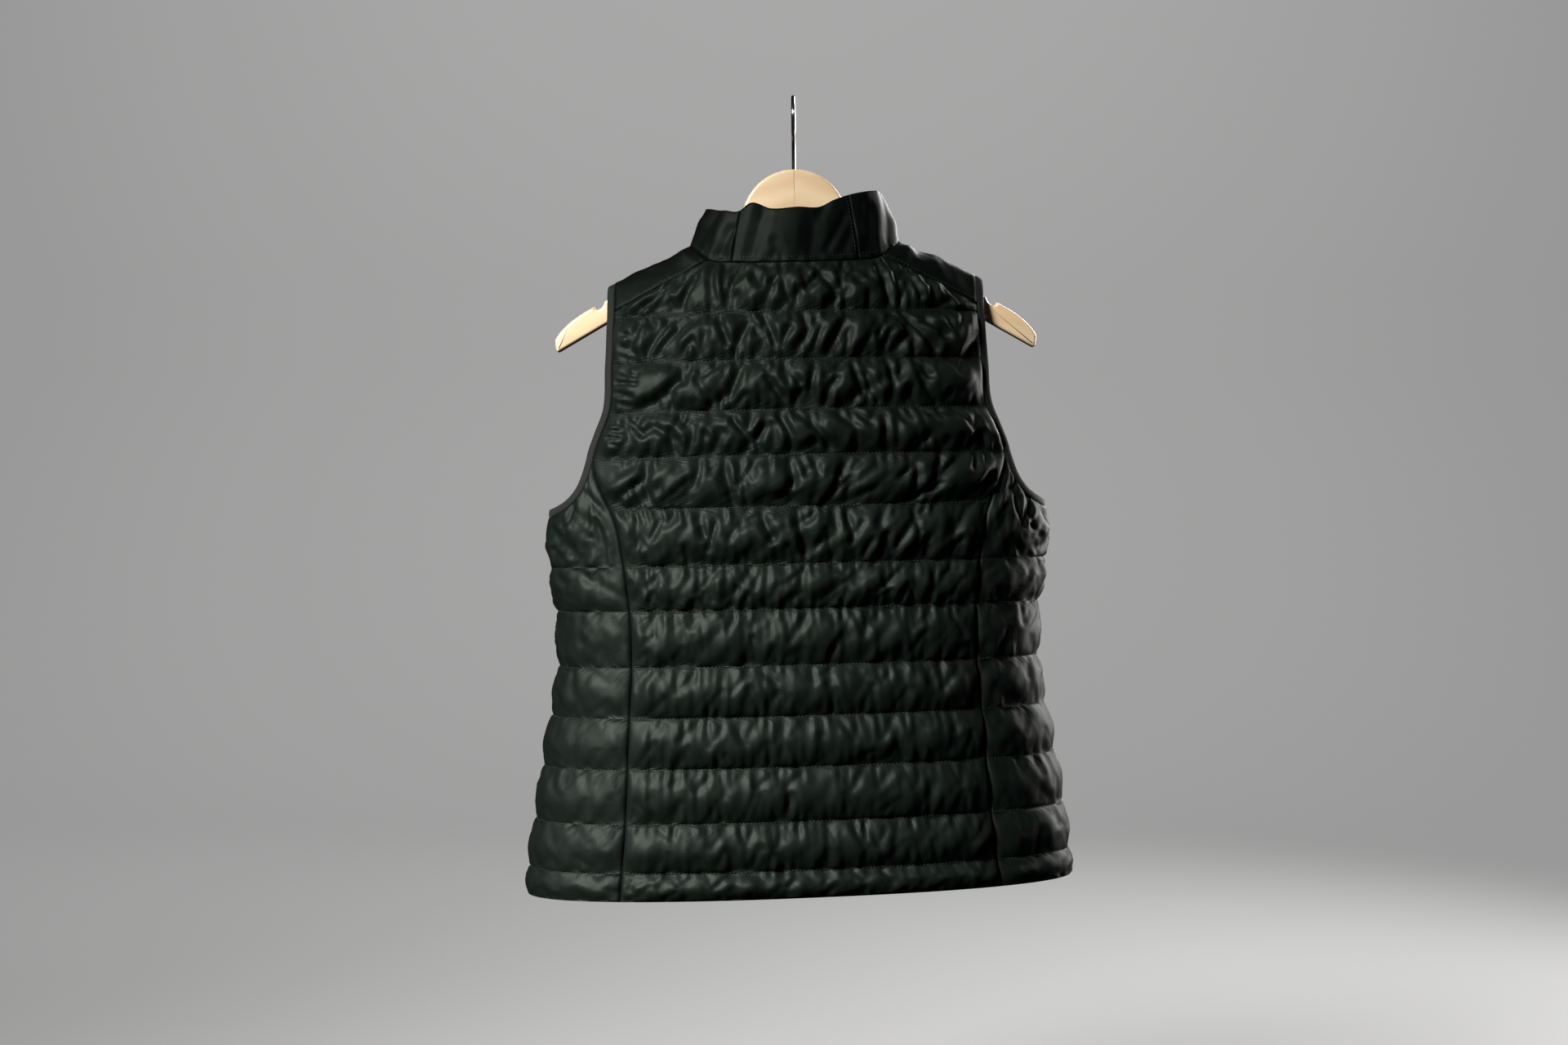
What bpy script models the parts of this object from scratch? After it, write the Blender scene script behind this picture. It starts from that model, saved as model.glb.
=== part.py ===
"""A light quilted body warmer, hung by its shoulders on a wooden hanger.

Metres, +Z up. The origin is the inside top of the hanger's hook. +X is the wearer's left, and the
front faces -Y. Every cloth piece is a flat pattern grid that is given two faces, then shaped: its
columns and rows become points on one hanging form, and its faces stand off that form by the wall
and by the fill of each quilted channel.
"""

import math

import bmesh
import bpy
import numpy as np
from mathutils import Matrix

# ---- how the whole thing hangs ----
ROLL = math.radians(0.64)  # hanger and cloth lean over the hook
HEM_SLOPE = 0.012  # drop of the cloth for each metre towards +X
TWIST = math.radians(6.3)  # turn of the hem against the shoulders
TWIST_TOP = -0.14  # height where the turning starts
HEM = -0.709

# ---- the hanging form ----
RIDGE_TOP = -0.0854  # shoulder line: its height is RIDGE_TOP - RIDGE_SLOPE * distance from the middle
RIDGE_SLOPE = 0.475
RIDGE_ROUND = 0.02
TENT = 0.25  # the cloth falls away from the shoulder line as TENT * drop ** TENT_POWER
TENT_POWER = 0.55
SQUARE = 2.4  # exponent of the rings, 2 is an ellipse
BLEND = 4.0  # how sharply the tent gives way to the ring

# height, half width, reach before and behind
FORM = (
    (-0.730, 0.2495, 0.0990),
    (-0.709, 0.2470, 0.0980),
    (-0.640, 0.2376, 0.0960),
    (-0.580, 0.2280, 0.0945),
    (-0.520, 0.2172, 0.0935),
    (-0.470, 0.2160, 0.0930),
    (-0.420, 0.2230, 0.0930),
    (-0.380, 0.2253, 0.0930),
    (-0.340, 0.2170, 0.0930),
    (-0.300, 0.2040, 0.0930),
    (-0.250, 0.1920, 0.0930),
    (-0.200, 0.1850, 0.0930),
    (-0.120, 0.1820, 0.0930),
)

# ---- seams ----
# heights of the stitch lines from the hem up; the last channel ends at the neck and the yokes
LEVELS = (HEM, -0.685, -0.643, -0.596, -0.552, -0.508, -0.459, -0.420, -0.370, -0.325, -0.285, -0.241, -0.198)
SIDE_LEVELS = 8  # stitch lines that run on round the side panels
# outer edge of the back and the fronts: armhole above the side panel, princess seam below it
PANEL_EDGE = (  # height, distance from the middle
    (-0.730, 0.1690),
    (HEM, 0.1675),
    (-0.645, 0.1610),
    (-0.600, 0.1580),
    (-0.552, 0.1550),
    (-0.510, 0.1520),
    (-0.460, 0.1525),
    (-0.420, 0.1570),
    (-0.377, 0.1650),
    (-0.364, 0.1705),
    (-0.325, 0.1825),
    (-0.306, 0.1765),
    (-0.285, 0.1680),
    (-0.241, 0.1650),
    (-0.190, 0.1630),
)
SIDE_TOP = -0.325  # where the princess seams meet the armhole
UNDERARM = -0.375
SIDE_WIDTH = 0.14  # from princess seam to princess seam at the waist
UNDERARM_ROUND = 2 / 3  # exponent of the armhole's foot, 1 is an ellipse
NECK = 0.078  # half the width of the neck between the yoke seams
NECK_FLARE = 0.017  # and how much wider it is on the shoulder
NECK_CORNER = -0.1475
BACK_NECK = -0.1535
FRONT_NECK = -0.194
YOKE_SLOPE = 0.514
YOKE_END = 0.163
ZIP_EDGE = 0.007  # half the gap between the fronts

# ---- walls ----
GAP = 0.0003
SEAM_WALL = 0.0020
CROWN = 0.0058  # how far the fill lifts the outside between two stitch lines
INNER_CROWN = 0.0028
FILL_FADE = 0.12  # share of a panel's half width over which its fill dies out
YOKE_WALL = 0.0042
COLLAR_WALL = 0.0030
COLLAR_BULGE = 0.0015
BINDING_WIDTH = 0.0075
BINDING_BULGE = 0.0006

# ---- collar ----
COLLAR_LEAN = (0.847, 0.86)  # the top edge's width and depth, against the neck seam's
COLLAR_SEAM = 0.225  # from 0 at the back of the neck to 1 at the zip
COLLAR_STEP = 0.02  # least distance along the neck between two columns
COLLAR_TOP = (  # place along the neck, negative on the wearer's right; height of the top edge
    (-1.000, -0.150),
    (-0.750, -0.124),
    (-0.483, -0.0890),
    (-0.290, -0.0895),
    (-0.167, -0.0970),
    (-0.095, -0.1040),
    (-0.020, -0.1037),
    (0.090, -0.1044),
    (0.190, -0.0990),
    (0.225, -0.1045),
    (0.300, -0.1030),
    (0.483, -0.0990),
    (0.750, -0.126),
    (1.000, -0.150),
)

# ---- zip ----
TAPE_EDGE = 0.0064
TAPE_WALL = 0.0010
TAPE_BACK = 0.0005  # the tape's face lies this far behind the line of the fronts
TAPE_FREE = 0.0001  # further half gap between the tapes
ZIP_TOP = 0.001  # the tapes end this far below the collar's top edge
CHAIN_HALF = 0.0022
CHAIN_RISE = 0.0017
SLIDER_HALF = (0.0042, 0.0060)
SLIDER_RISE = 0.0040
SLIDER_BACK = 0.0002  # clear of the line of the fronts
SLIDER_DROP = 0.0085  # from the collar's top edge to the slider's middle
PIVOT_RISE = 0.0011
PIN_RADIUS = 0.0005
BRIDGE = (0.0008, 0.0026, 0.0029)  # half width, half length and rise of the bridge over the pin
WINDOW = (0.0016, 0.0019)  # half length and rise of the hole under it
BRIDGE_SINK = 0.0004  # how deep the bridge is rooted in the slider
PULL_ARM = (0.0011, 0.0021)  # inner and outer face of the arms that hold the pin
PULL_ARM_LAP = 0.0006  # how far the arms run into the plate, and past the pin's middle
PULL_ARM_THIN = 0.00005  # each face of the arms lies this far below the plate's
PIN_SINK = 0.0002  # the pin's ends stop this far inside the arms
PULL_HALF = 0.0030
PULL_PLATE = (-0.0240, -0.0050)
PULL_THICK = 0.0011

# ---- hanger ----
WOOD = 0.012
WOOD_ROUND = 0.003
DOME_TOP = -0.064
DOME_RADIUS = 0.048
DOME_END = math.radians(15)
SHOULDER = 0.0516  # where the dome's end and the arm's top would meet
ARM_TOP = (0.072, -0.1294)
ARM_TOP_SLOPE = 0.520
ARM_UNDER = (0.169, -0.2010)
ARM_UNDER_SLOPE = math.tan(math.radians(30))
UNDERSIDE = -0.119
NOTCH = 0.1775
NOTCH_RADIUS = 0.0045
END_START = 0.1860
TIP = 0.2140
END_BULGE = 0.0045
TIP_ROUND = 0.004
END_CORNER = 0.009  # the rounding of the arm's end turns down this far before its tip
END_RISE = 0.004
OTHER_HALF = ((-0.1, 0.1), (-0.4, 0.1), 0.3)  # depth, height and width of the block that cuts one half away

# ---- hook ----
WIRE = 0.00175
HOOK_RADIUS = 0.019 + WIRE
HOOK_START = math.radians(205)
HOOK_END = math.radians(-50)
SHANK_TOP = -0.056
SHANK_END = -0.082


# ---- a clean file, and the finishes ----
for old in list(bpy.data.objects):
    bpy.data.objects.remove(old, do_unlink=True)
parts = bpy.data.collections.new("body_warmer")
cutters = bpy.data.collections.new("cutters")
bpy.context.scene.collection.children.link(parts)
bpy.context.scene.collection.children.link(cutters)
hung = bpy.data.objects.new("hung_on_the_hook", None)
hung.rotation_euler.y = ROLL
parts.objects.link(hung)


def finish(name, colour, roughness, metallic=0.0):
    """A plain material."""
    material = bpy.data.materials.new(name)
    material.use_nodes = True
    shader = material.node_tree.nodes["Principled BSDF"]
    shader.inputs["Base Color"].default_value = (*colour, 1.0)
    shader.inputs["Roughness"].default_value = roughness
    shader.inputs["Metallic"].default_value = metallic
    material.diffuse_color = (*colour, 1.0)
    return material


QUILTED = finish("quilted_shell", (0.030, 0.037, 0.034), 0.38)
PLAIN = finish("plain_shell", (0.026, 0.032, 0.030), 0.40)
BINDING = finish("binding_tape", (0.016, 0.018, 0.018), 0.75)
TAPE = finish("zip_tape", (0.014, 0.016, 0.016), 0.85)
TEETH = finish("zip_teeth", (0.012, 0.013, 0.013), 0.35)
SLIDER_METAL = finish("zip_metal", (0.05, 0.05, 0.05), 0.35, 1.0)
MAPLE = finish("hanger_wood", (0.70, 0.50, 0.30), 0.35)
CHROME = finish("hook_chrome", (0.75, 0.75, 0.76), 0.12, 1.0)


def keep(obj, material, parent=hung):
    """Puts a finished piece in the object's collection, on the hook."""
    for collection in list(obj.users_collection):
        collection.objects.unlink(obj)
    parts.objects.link(obj)
    obj.data.materials.clear()
    obj.data.materials.append(material)
    obj.parent = parent
    return obj


# ---- the form that all the cloth hangs on ----
def column(table, which, at):
    """One column of a table read at the given values of its first, as a smooth curve."""
    knots = np.array([row[0] for row in table])
    values = np.array([row[which] for row in table])
    slopes = np.gradient(values, knots)
    here = np.clip(np.searchsorted(knots, at) - 1, 0, len(knots) - 2)
    span = knots[here + 1] - knots[here]
    t = (at - knots[here]) / span
    start = (1 + 2 * t) * (1 - t) ** 2 * values[here] + t * (1 - t) ** 2 * span * slopes[here]
    return start + t * t * (3 - 2 * t) * values[here + 1] + t * t * (t - 1) * span * slopes[here + 1]


def ridge(x):
    """Height of the shoulder line."""
    return RIDGE_TOP - RIDGE_SLOPE * np.sqrt(x * x + RIDGE_ROUND**2)


def reach(x, z):
    """How far before and behind the middle a ring reaches, held in near the shoulders."""
    drop = np.maximum(ridge(x) - z, 1e-5)
    return ((TENT * drop**TENT_POWER) ** -BLEND + column(FORM, 2, z) ** -BLEND) ** (-1 / BLEND)


def depth(x, z):
    """Distance of the form from the plane of the hanger."""
    inside = np.clip(1 - np.abs(x / column(FORM, 1, z)) ** SQUARE, 0, 1)
    return reach(x, z) * inside ** (1 / SQUARE)


def at_angle(angle, z):
    """Point of the ring at height z in a direction seen from above, 0 being the side."""
    x = np.cos(angle) * column(FORM, 1, z)
    for _ in range(6):
        along = np.abs(np.cos(angle) / column(FORM, 1, z)) ** SQUARE
        across = np.abs(np.sin(angle) / reach(x, z)) ** SQUARE
        radius = (along + across) ** (-1 / SQUARE)
        x = radius * np.cos(angle)
    return x, radius * np.sin(angle)


def outward(x, y, z):
    """Unit normals of the form."""

    def level(x, y, z):
        return np.abs(x / column(FORM, 1, z)) ** SQUARE + np.abs(y / reach(x, z)) ** SQUARE

    step = 1e-5
    slope = [
        level(x + step, y, z) - level(x - step, y, z),
        level(x, y + step, z) - level(x, y - step, z),
        level(x, y, z + step) - level(x, y, z - step),
    ]
    normal = np.stack(slope, axis=-1)
    return normal / np.linalg.norm(normal, axis=-1, keepdims=True)


def hang(points):
    """Turns and drops the cloth as it hangs."""
    x, y, z = points[:, 0], points[:, 1], points[:, 2]
    turn = TWIST * np.clip((TWIST_TOP - z) / (TWIST_TOP - HEM), 0, None)
    turned_x = x * np.cos(turn) - y * np.sin(turn)
    turned_y = x * np.sin(turn) + y * np.cos(turn)
    return np.stack([turned_x, turned_y, z - HEM_SLOPE * turned_x], axis=-1)


# ---- cutting and sewing ----
def sew(name, columns, rows, place, material):
    """A closed wall: place(u, v, outside) gives the points of its two faces."""
    pattern = bmesh.new()
    bmesh.ops.create_grid(pattern, x_segments=len(columns) - 1, y_segments=len(rows) - 1, size=0.5)
    extruded = bmesh.ops.extrude_face_region(pattern, geom=pattern.faces[:], use_keep_orig=True)
    for corner in extruded["geom"]:
        if isinstance(corner, bmesh.types.BMVert):
            corner.co.z = 1.0
    flat = np.array([corner.co for corner in pattern.verts])
    u = np.array(columns)[np.rint((flat[:, 0] + 0.5) * (len(columns) - 1)).astype(int)]
    v = np.array(rows)[np.rint((flat[:, 1] + 0.5) * (len(rows) - 1)).astype(int)]
    for corner, point in zip(pattern.verts, hang(place(u, v, flat[:, 2] > 0.5))):
        corner.co = point
    bmesh.ops.recalc_face_normals(pattern, faces=pattern.faces[:])
    mesh = bpy.data.meshes.new(name)
    pattern.to_mesh(mesh)
    pattern.free()
    return keep(bpy.data.objects.new(name, mesh), material)


def stand_off(x, y, z, fill, outside):
    """Points of a padded wall: the outside lifted by the fill, the inside let in by wall and fill."""
    distance = np.where(outside, CROWN * fill, -SEAM_WALL - INNER_CROWN * fill)
    return np.stack([x, y, z], axis=-1) + outward(x, y, z) * distance[:, None]


def channel_fill(row, edge):
    """1 in the middle of a channel, 0 on its stitch lines and at the ends of the piece."""
    across = np.sin(np.pi * (row % 1.0))
    return across * np.clip((1 - np.abs(edge)) / FILL_FADE, 0, 1) ** 0.5


CHANNEL_SHARES = (0.0, 0.3, 0.7)  # rows of a channel, from its lower stitch line up


def quilt_rows(count):
    """Row numbers of a quilted piece: whole numbers are stitch lines."""
    return [level + share for level in range(count) for share in CHANNEL_SHARES]


def top_edge(x, neck):
    """Height of the neck seam and, past the neck, of the yoke seam."""
    dip = np.sqrt(np.clip(1 - (x / NECK) ** 2, 0, 1))
    seam = NECK_CORNER - YOKE_SLOPE * np.maximum(np.abs(x) - NECK, 0)
    return np.where(np.abs(x) < NECK, NECK_CORNER - (NECK_CORNER - neck) * dip, seam)


def row_height(row, x, neck):
    """Height of a row at a distance from the middle: level stitch lines, then up to the top edge."""
    last = len(LEVELS) - 1
    level = np.interp(row, range(len(LEVELS)), LEVELS)
    top = top_edge(x, neck) - GAP / 2
    return np.where(row > last, LEVELS[last] + (top - LEVELS[last]) * (row - last), level)


def panel_edge(z):
    return column(PANEL_EDGE, 1, z)


PANEL_ROWS = quilt_rows(len(LEVELS)) + [float(len(LEVELS))]
# one column ends at each corner of the neck
CORNER_SHARE = NECK / (panel_edge(LEVELS[-1]) - GAP / 2)
BACK_HALF = [0.13, 0.325, CORNER_SHARE, 0.68, 0.88, 1]
BACK_COLUMNS = [-share for share in reversed(BACK_HALF)] + BACK_HALF
FRONT_CORNER = (NECK - ZIP_EDGE) / (panel_edge(LEVELS[-1]) - GAP / 2 - ZIP_EDGE)
FRONT_COLUMNS = [0, 0.12, 0.27, 0.38, FRONT_CORNER, 0.7, 0.88, 1]


def edge_height(row):
    return row_height(row, np.full(np.shape(row), YOKE_END), BACK_NECK)


def back_panel(u, v, outside):
    x = u * (panel_edge(edge_height(v)) - GAP / 2)
    z = row_height(v, x, BACK_NECK)
    return stand_off(x, depth(x, z), z, channel_fill(v, u), outside)


def front_panel(u, v, outside, side):
    x = ZIP_EDGE + u * (panel_edge(edge_height(v)) - GAP / 2 - ZIP_EDGE)
    z = row_height(v, x, FRONT_NECK)
    return stand_off(side * x, -depth(x, z), z, channel_fill(v, 2 * u - 1), outside)


sew("back_panel", BACK_COLUMNS, PANEL_ROWS, back_panel, QUILTED)
for side, hand in ((1, "left"), (-1, "right")):
    sew(f"front_{hand}", FRONT_COLUMNS, PANEL_ROWS, lambda u, v, o, s=side: front_panel(u, v, o, s), QUILTED)

# ---- side panels: round the side from princess seam to princess seam, with the armhole's foot on top ----
SIDE_COLUMNS = [-1, -0.85, -0.6, -0.3, 0, 0.3, 0.6, 0.85, 1]
SIDE_ROWS = quilt_rows(SIDE_LEVELS - 1)
# the plain top channel keeps the heights of the back's rows at its two ends
SIDE_TOP_ROWS = [SIDE_LEVELS - 1 + (level + share) / 2 for level in (0, 1) for share in CHANNEL_SHARES]
SIDE_INSET = GAP / SIDE_WIDTH  # share of the turn that leaves half a gap at the seam


def side_edge_height(row):
    """Height of a side panel's row where it meets the back or the front."""
    last = SIDE_LEVELS - 1
    back_row = np.where(row > last, last + (row - last) * 2, row)
    return np.interp(back_row, range(len(LEVELS)), LEVELS)


def armhole_foot(u):
    """The curved top edge of the side panel: share of the way round, and height."""
    turn = np.pi / 2 * np.clip(np.abs(u), 0, 1)
    share = np.sign(u) * np.sin(turn) ** UNDERARM_ROUND
    return share, SIDE_TOP + (UNDERARM - SIDE_TOP) * np.clip(np.cos(turn), 0, 1) ** UNDERARM_ROUND


def side_point(u, v, inset=0.0):
    """Point of the side panel's form: u from the front seam -1 to the back seam 1."""
    bottom = LEVELS[SIDE_LEVELS - 1]
    share, foot = armhole_foot(u)
    end = side_edge_height(v)
    up = np.clip((end - bottom) / (SIDE_TOP - bottom), 0, 1)
    z = np.where(up > 0, bottom + (foot - bottom) * up, end)
    seam_x = panel_edge(end)
    seam_angle = np.arctan2(depth(seam_x, end), seam_x)
    angle = (u + (share - u) * up) * seam_angle
    x, y = at_angle(angle * (1 - inset * (np.abs(u) == 1)), z)
    return x, y, z


def side_panel(u, v, outside, side):
    x, y, z = side_point(u, v, SIDE_INSET)
    return stand_off(side * x, y, z, channel_fill(v, u), outside)


for side, hand in ((1, "left"), (-1, "right")):
    rows = SIDE_ROWS + SIDE_TOP_ROWS + [float(SIDE_LEVELS)]
    sew(f"side_panel_{hand}", SIDE_COLUMNS, rows, lambda u, v, o, s=side: side_panel(u, v, o, s), QUILTED)

# ---- yokes: over the shoulder from the back seam to the front seam ----
YOKE_COLUMNS = [0, 0.12, 0.37, 0.63, 0.88, 1]
YOKE_ROWS = [0, 0.08, 0.2, 0.35, 0.5, 0.65, 0.8, 0.92, 1]


def yoke_point(u, v):
    """u from the neck 0 to the armhole 1, v from the back seam 0 to the front seam 1."""
    share = np.abs(1 - 2 * v)
    x = (NECK + NECK_FLARE * (1 - share**2)) * (1 - u) + YOKE_END * u
    seam = top_edge(x, BACK_NECK) + GAP / 2
    y = np.sign(0.5 - v) * depth(x, seam) * share
    return np.stack([x, y, ridge(x) - (ridge(x) - seam) * share ** (1 / TENT_POWER)], axis=-1)


def yoke_normal(u, v):
    step = 1e-4
    across = yoke_point(u + step, v) - yoke_point(u - step, v)
    low = np.clip(v - step, 0, 1)
    high = np.clip(v + step, 0, 1)
    along = yoke_point(u, high) - yoke_point(u, low)
    normal = np.cross(along, across)
    normal = normal / np.linalg.norm(normal, axis=-1, keepdims=True)
    return normal * np.sign(np.where(np.abs(normal[:, 2:]) > 0.02, normal[:, 2:], 1))


def yoke(u, v, outside, side):
    wall = SEAM_WALL + (YOKE_WALL - SEAM_WALL) * np.sin(np.pi * u) ** 0.5 * np.sin(np.pi * v) ** 0.5
    points = yoke_point(u, v) - yoke_normal(u, v) * np.where(outside, 0, wall)[:, None]
    return points * (side, 1, 1)


for side, hand in ((1, "left"), (-1, "right")):
    sew(f"yoke_{hand}", YOKE_COLUMNS, YOKE_ROWS, lambda u, v, o, s=side: yoke(u, v, o, s), PLAIN)


# ---- collar: stands on the neck seam, leaning in ----
def neck_seam():
    """Corners of the sewn neck from the middle of the back to the zip on the wearer's left."""
    shares = np.array([0.0] + [share for share in BACK_HALF if share <= CORNER_SHARE])
    x = shares * NECK / CORNER_SHARE
    z = top_edge(x, BACK_NECK)
    back = np.stack([x, depth(x, z), z], axis=-1)
    over = yoke_point(np.zeros(len(YOKE_ROWS) - 2), np.array(YOKE_ROWS[1:-1]))
    shares = np.array([share for share in reversed(FRONT_COLUMNS) if share <= FRONT_CORNER])
    x = ZIP_EDGE + shares * (NECK - ZIP_EDGE) / FRONT_CORNER
    z = top_edge(x, FRONT_NECK)
    front = np.stack([x, -depth(x, z), z], axis=-1)
    return np.concatenate([back, over, front])


NECK_LINE = neck_seam()
NECK_PLACES = np.concatenate([[0], np.cumsum(np.linalg.norm(np.diff(NECK_LINE, axis=0), axis=1))])
NECK_LENGTH = NECK_PLACES[-1]
NECK_PLACES = NECK_PLACES / NECK_LENGTH


def on_neck(place):
    """Point of the neck seam, 0 at the back and 1 at the zip, negative on the wearer's right."""
    at = [np.interp(np.abs(place), NECK_PLACES, NECK_LINE[:, axis]) for axis in range(3)]
    return np.stack([np.where(place < 0, -at[0], at[0]), at[1], at[2]], axis=-1)


def collar_point(place, up):
    foot = on_neck(place) + (0, 0, GAP)
    upright = np.clip((np.abs(place) - 0.8) / 0.2, 0, 1)  # the ends run straight up beside the zip
    lean = COLLAR_LEAN[0] + (1 - COLLAR_LEAN[0]) * upright
    height = np.interp(place, [row[0] for row in COLLAR_TOP], [row[1] for row in COLLAR_TOP])
    top = np.stack([foot[:, 0] * lean, foot[:, 1] * COLLAR_LEAN[1], height], axis=-1)
    return foot + (top - foot) * up[:, None]


def collar(u, v, outside):
    after, before = np.clip(u + COLLAR_STEP, -1, 1), np.clip(u - COLLAR_STEP, -1, 1)
    along = collar_point(after, v) - collar_point(before, v)
    normal = np.stack([-along[:, 1], along[:, 0], 0 * u], axis=-1)
    normal = normal / np.linalg.norm(normal, axis=-1, keepdims=True)
    bulge = COLLAR_BULGE * np.sin(np.pi * v)
    return collar_point(u, v) + normal * np.where(outside, bulge, bulge - COLLAR_WALL)[:, None]


COLLAR_ROWS = [0, 0.33, 0.67, 1]
SEAM_INSET = GAP / 2 / NECK_LENGTH
COLLAR_BACK_HALF = [place for place in NECK_PLACES if 0 < place < COLLAR_SEAM - COLLAR_STEP]
COLLAR_BACK_HALF.append(COLLAR_SEAM - SEAM_INSET)
COLLAR_SIDE = [place for place in NECK_PLACES if place > COLLAR_SEAM + COLLAR_STEP]
COLLAR_SIDE.insert(0, COLLAR_SEAM + SEAM_INSET)
COLLAR_BACK = [-place for place in reversed(COLLAR_BACK_HALF)] + [0.0] + COLLAR_BACK_HALF
sew("collar_back", COLLAR_BACK, COLLAR_ROWS, collar, PLAIN)
sew("collar_left", COLLAR_SIDE, COLLAR_ROWS, collar, PLAIN)
sew("collar_right", [-place for place in COLLAR_SIDE], COLLAR_ROWS, collar, PLAIN)


# ---- armhole bindings: tape all round the armhole, joined under the arm ----
def armhole():
    """The sewn edge on the wearer's left, from the underarm up the back, over and down the front."""
    foot_u = np.array([u for u in SIDE_COLUMNS if u >= 0])
    x, y, z = side_point(foot_u, np.full(len(foot_u), float(SIDE_LEVELS)))
    foot = np.stack([x, y, z], axis=-1)
    foot_normal = outward(x, y, z)
    rows = np.array([row for row in PANEL_ROWS if LEVELS.index(SIDE_TOP) < row < len(LEVELS)])
    z = edge_height(rows)
    x = panel_edge(z)
    rise = np.stack([x, depth(x, z), z], axis=-1)
    rise_normal = outward(x, depth(x, z), z)
    over_v = np.array(YOKE_ROWS[: len(YOKE_ROWS) // 2 + 1])
    over = yoke_point(np.ones(len(over_v)), over_v)
    over_normal = yoke_normal(np.ones(len(over_v)), over_v)
    points = np.concatenate([foot, rise, over])
    normals = np.concatenate([foot_normal, rise_normal, over_normal])
    points = np.concatenate([points, points[-2::-1] * (1, -1, 1)])
    normals = np.concatenate([normals, normals[-2::-1] * (1, -1, 1)])
    return points, normals


ARMHOLE, ARMHOLE_NORMAL = armhole()


def binding(u, v, outside, side):
    here = np.rint(u).astype(int)
    count = len(ARMHOLE) - 1
    before = ARMHOLE[np.where(here == 0, count - 1, here - 1)]
    after = ARMHOLE[np.where(here == count, 1, here + 1)]
    along = (after - before) / np.linalg.norm(after - before, axis=-1, keepdims=True)
    away = np.cross(ARMHOLE_NORMAL[here], along)
    away = away / np.linalg.norm(away, axis=-1, keepdims=True)
    bulge = BINDING_BULGE * np.sin(np.pi * v)
    distance = np.where(outside, bulge, -SEAM_WALL - bulge)
    points = ARMHOLE[here] + away * (GAP + BINDING_WIDTH * v)[:, None]
    points = points + ARMHOLE_NORMAL[here] * distance[:, None]
    points = points + along * (GAP / 2 * ((here == 0) * 1.0 - (here == count)))[:, None]
    return points * (side, 1, 1)


for side, hand in ((1, "left"), (-1, "right")):
    around = [float(at) for at in range(len(ARMHOLE))]
    sew(f"armhole_binding_{hand}", around, [0, 0.5, 1], lambda u, v, o, s=side: binding(u, v, o, s), BINDING)


# ---- zip, closed to the top of the collar ----
COLLAR_FRONT = on_neck(np.array([1.0]))[0]
COLLAR_FRONT_TOP = collar_point(np.array([1.0]), np.array([1.0]))[0]
LEAN = math.atan2(COLLAR_FRONT_TOP[1] - COLLAR_FRONT[1], COLLAR_FRONT_TOP[2] - COLLAR_FRONT[2])
SLIDER_HEIGHT = COLLAR_FRONT_TOP[2] - SLIDER_DROP * math.cos(LEAN)
CHAIN_END = SLIDER_HEIGHT - (SLIDER_HALF[1] + GAP) * math.cos(LEAN)


def zip_line(z):
    """Distance before the middle of the closed fronts and collar."""
    on_body = -depth(np.full(len(z), ZIP_EDGE), np.minimum(z, FRONT_NECK))
    share = (z - COLLAR_FRONT[2]) / (COLLAR_FRONT_TOP[2] - COLLAR_FRONT[2])
    on_collar = COLLAR_FRONT[1] + (COLLAR_FRONT_TOP[1] - COLLAR_FRONT[1]) * share
    return np.where(z < COLLAR_FRONT[2], on_body, on_collar)


def zip_tape(u, v, outside, side):
    x = GAP / 2 + TAPE_FREE + (TAPE_EDGE - GAP / 2) * u
    y = zip_line(v) + TAPE_BACK + np.where(outside, 0, TAPE_WALL)
    return np.stack([side * x, y, v], axis=-1)


def zip_chain(u, v, outside):
    y = zip_line(v) + np.where(outside, -CHAIN_RISE, TAPE_BACK - GAP)
    return np.stack([CHAIN_HALF * u, y, v], axis=-1)


ZIP_ROWS = list(LEVELS) + [COLLAR_FRONT[2]]
for side, hand in ((1, "left"), (-1, "right")):
    rows = ZIP_ROWS + [SLIDER_HEIGHT, COLLAR_FRONT_TOP[2] - ZIP_TOP]
    sew(f"zip_tape_{hand}", [0, 1], rows, lambda u, v, o, s=side: zip_tape(u, v, o, s), TAPE)
sew("zip_chain", [-1, 1], ZIP_ROWS + [CHAIN_END], zip_chain, TEETH)


# ---- slider with its bridge, and the pull tab that hangs from it ----
def block(name, low, high):
    """A box between two corners."""
    mesh = bpy.data.meshes.new(name)
    cube = bmesh.new()
    bmesh.ops.create_cube(cube, size=1.0)
    for corner in cube.verts:
        corner.co = [(a + b) / 2 + (b - a) * at for a, b, at in zip(low, high, corner.co)]
    cube.to_mesh(mesh)
    cube.free()
    obj = bpy.data.objects.new(name, mesh)
    cutters.objects.link(obj)
    obj.hide_render = True
    obj.display_type = "WIRE"
    return obj


def boolean(obj, cutter, operation):
    modifier = obj.modifiers.new(cutter.name, "BOOLEAN")
    modifier.operation = operation
    modifier.object = cutter


slider_seat = bpy.data.objects.new("slider_seat", None)
slider_y = float(zip_line(np.array([SLIDER_HEIGHT]))[0])
slider_seat.location = hang(np.array([[0.0, slider_y, SLIDER_HEIGHT]]))[0]
slider_seat.rotation_euler.x = -LEAN
parts.objects.link(slider_seat)
slider_seat.parent = hung

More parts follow.
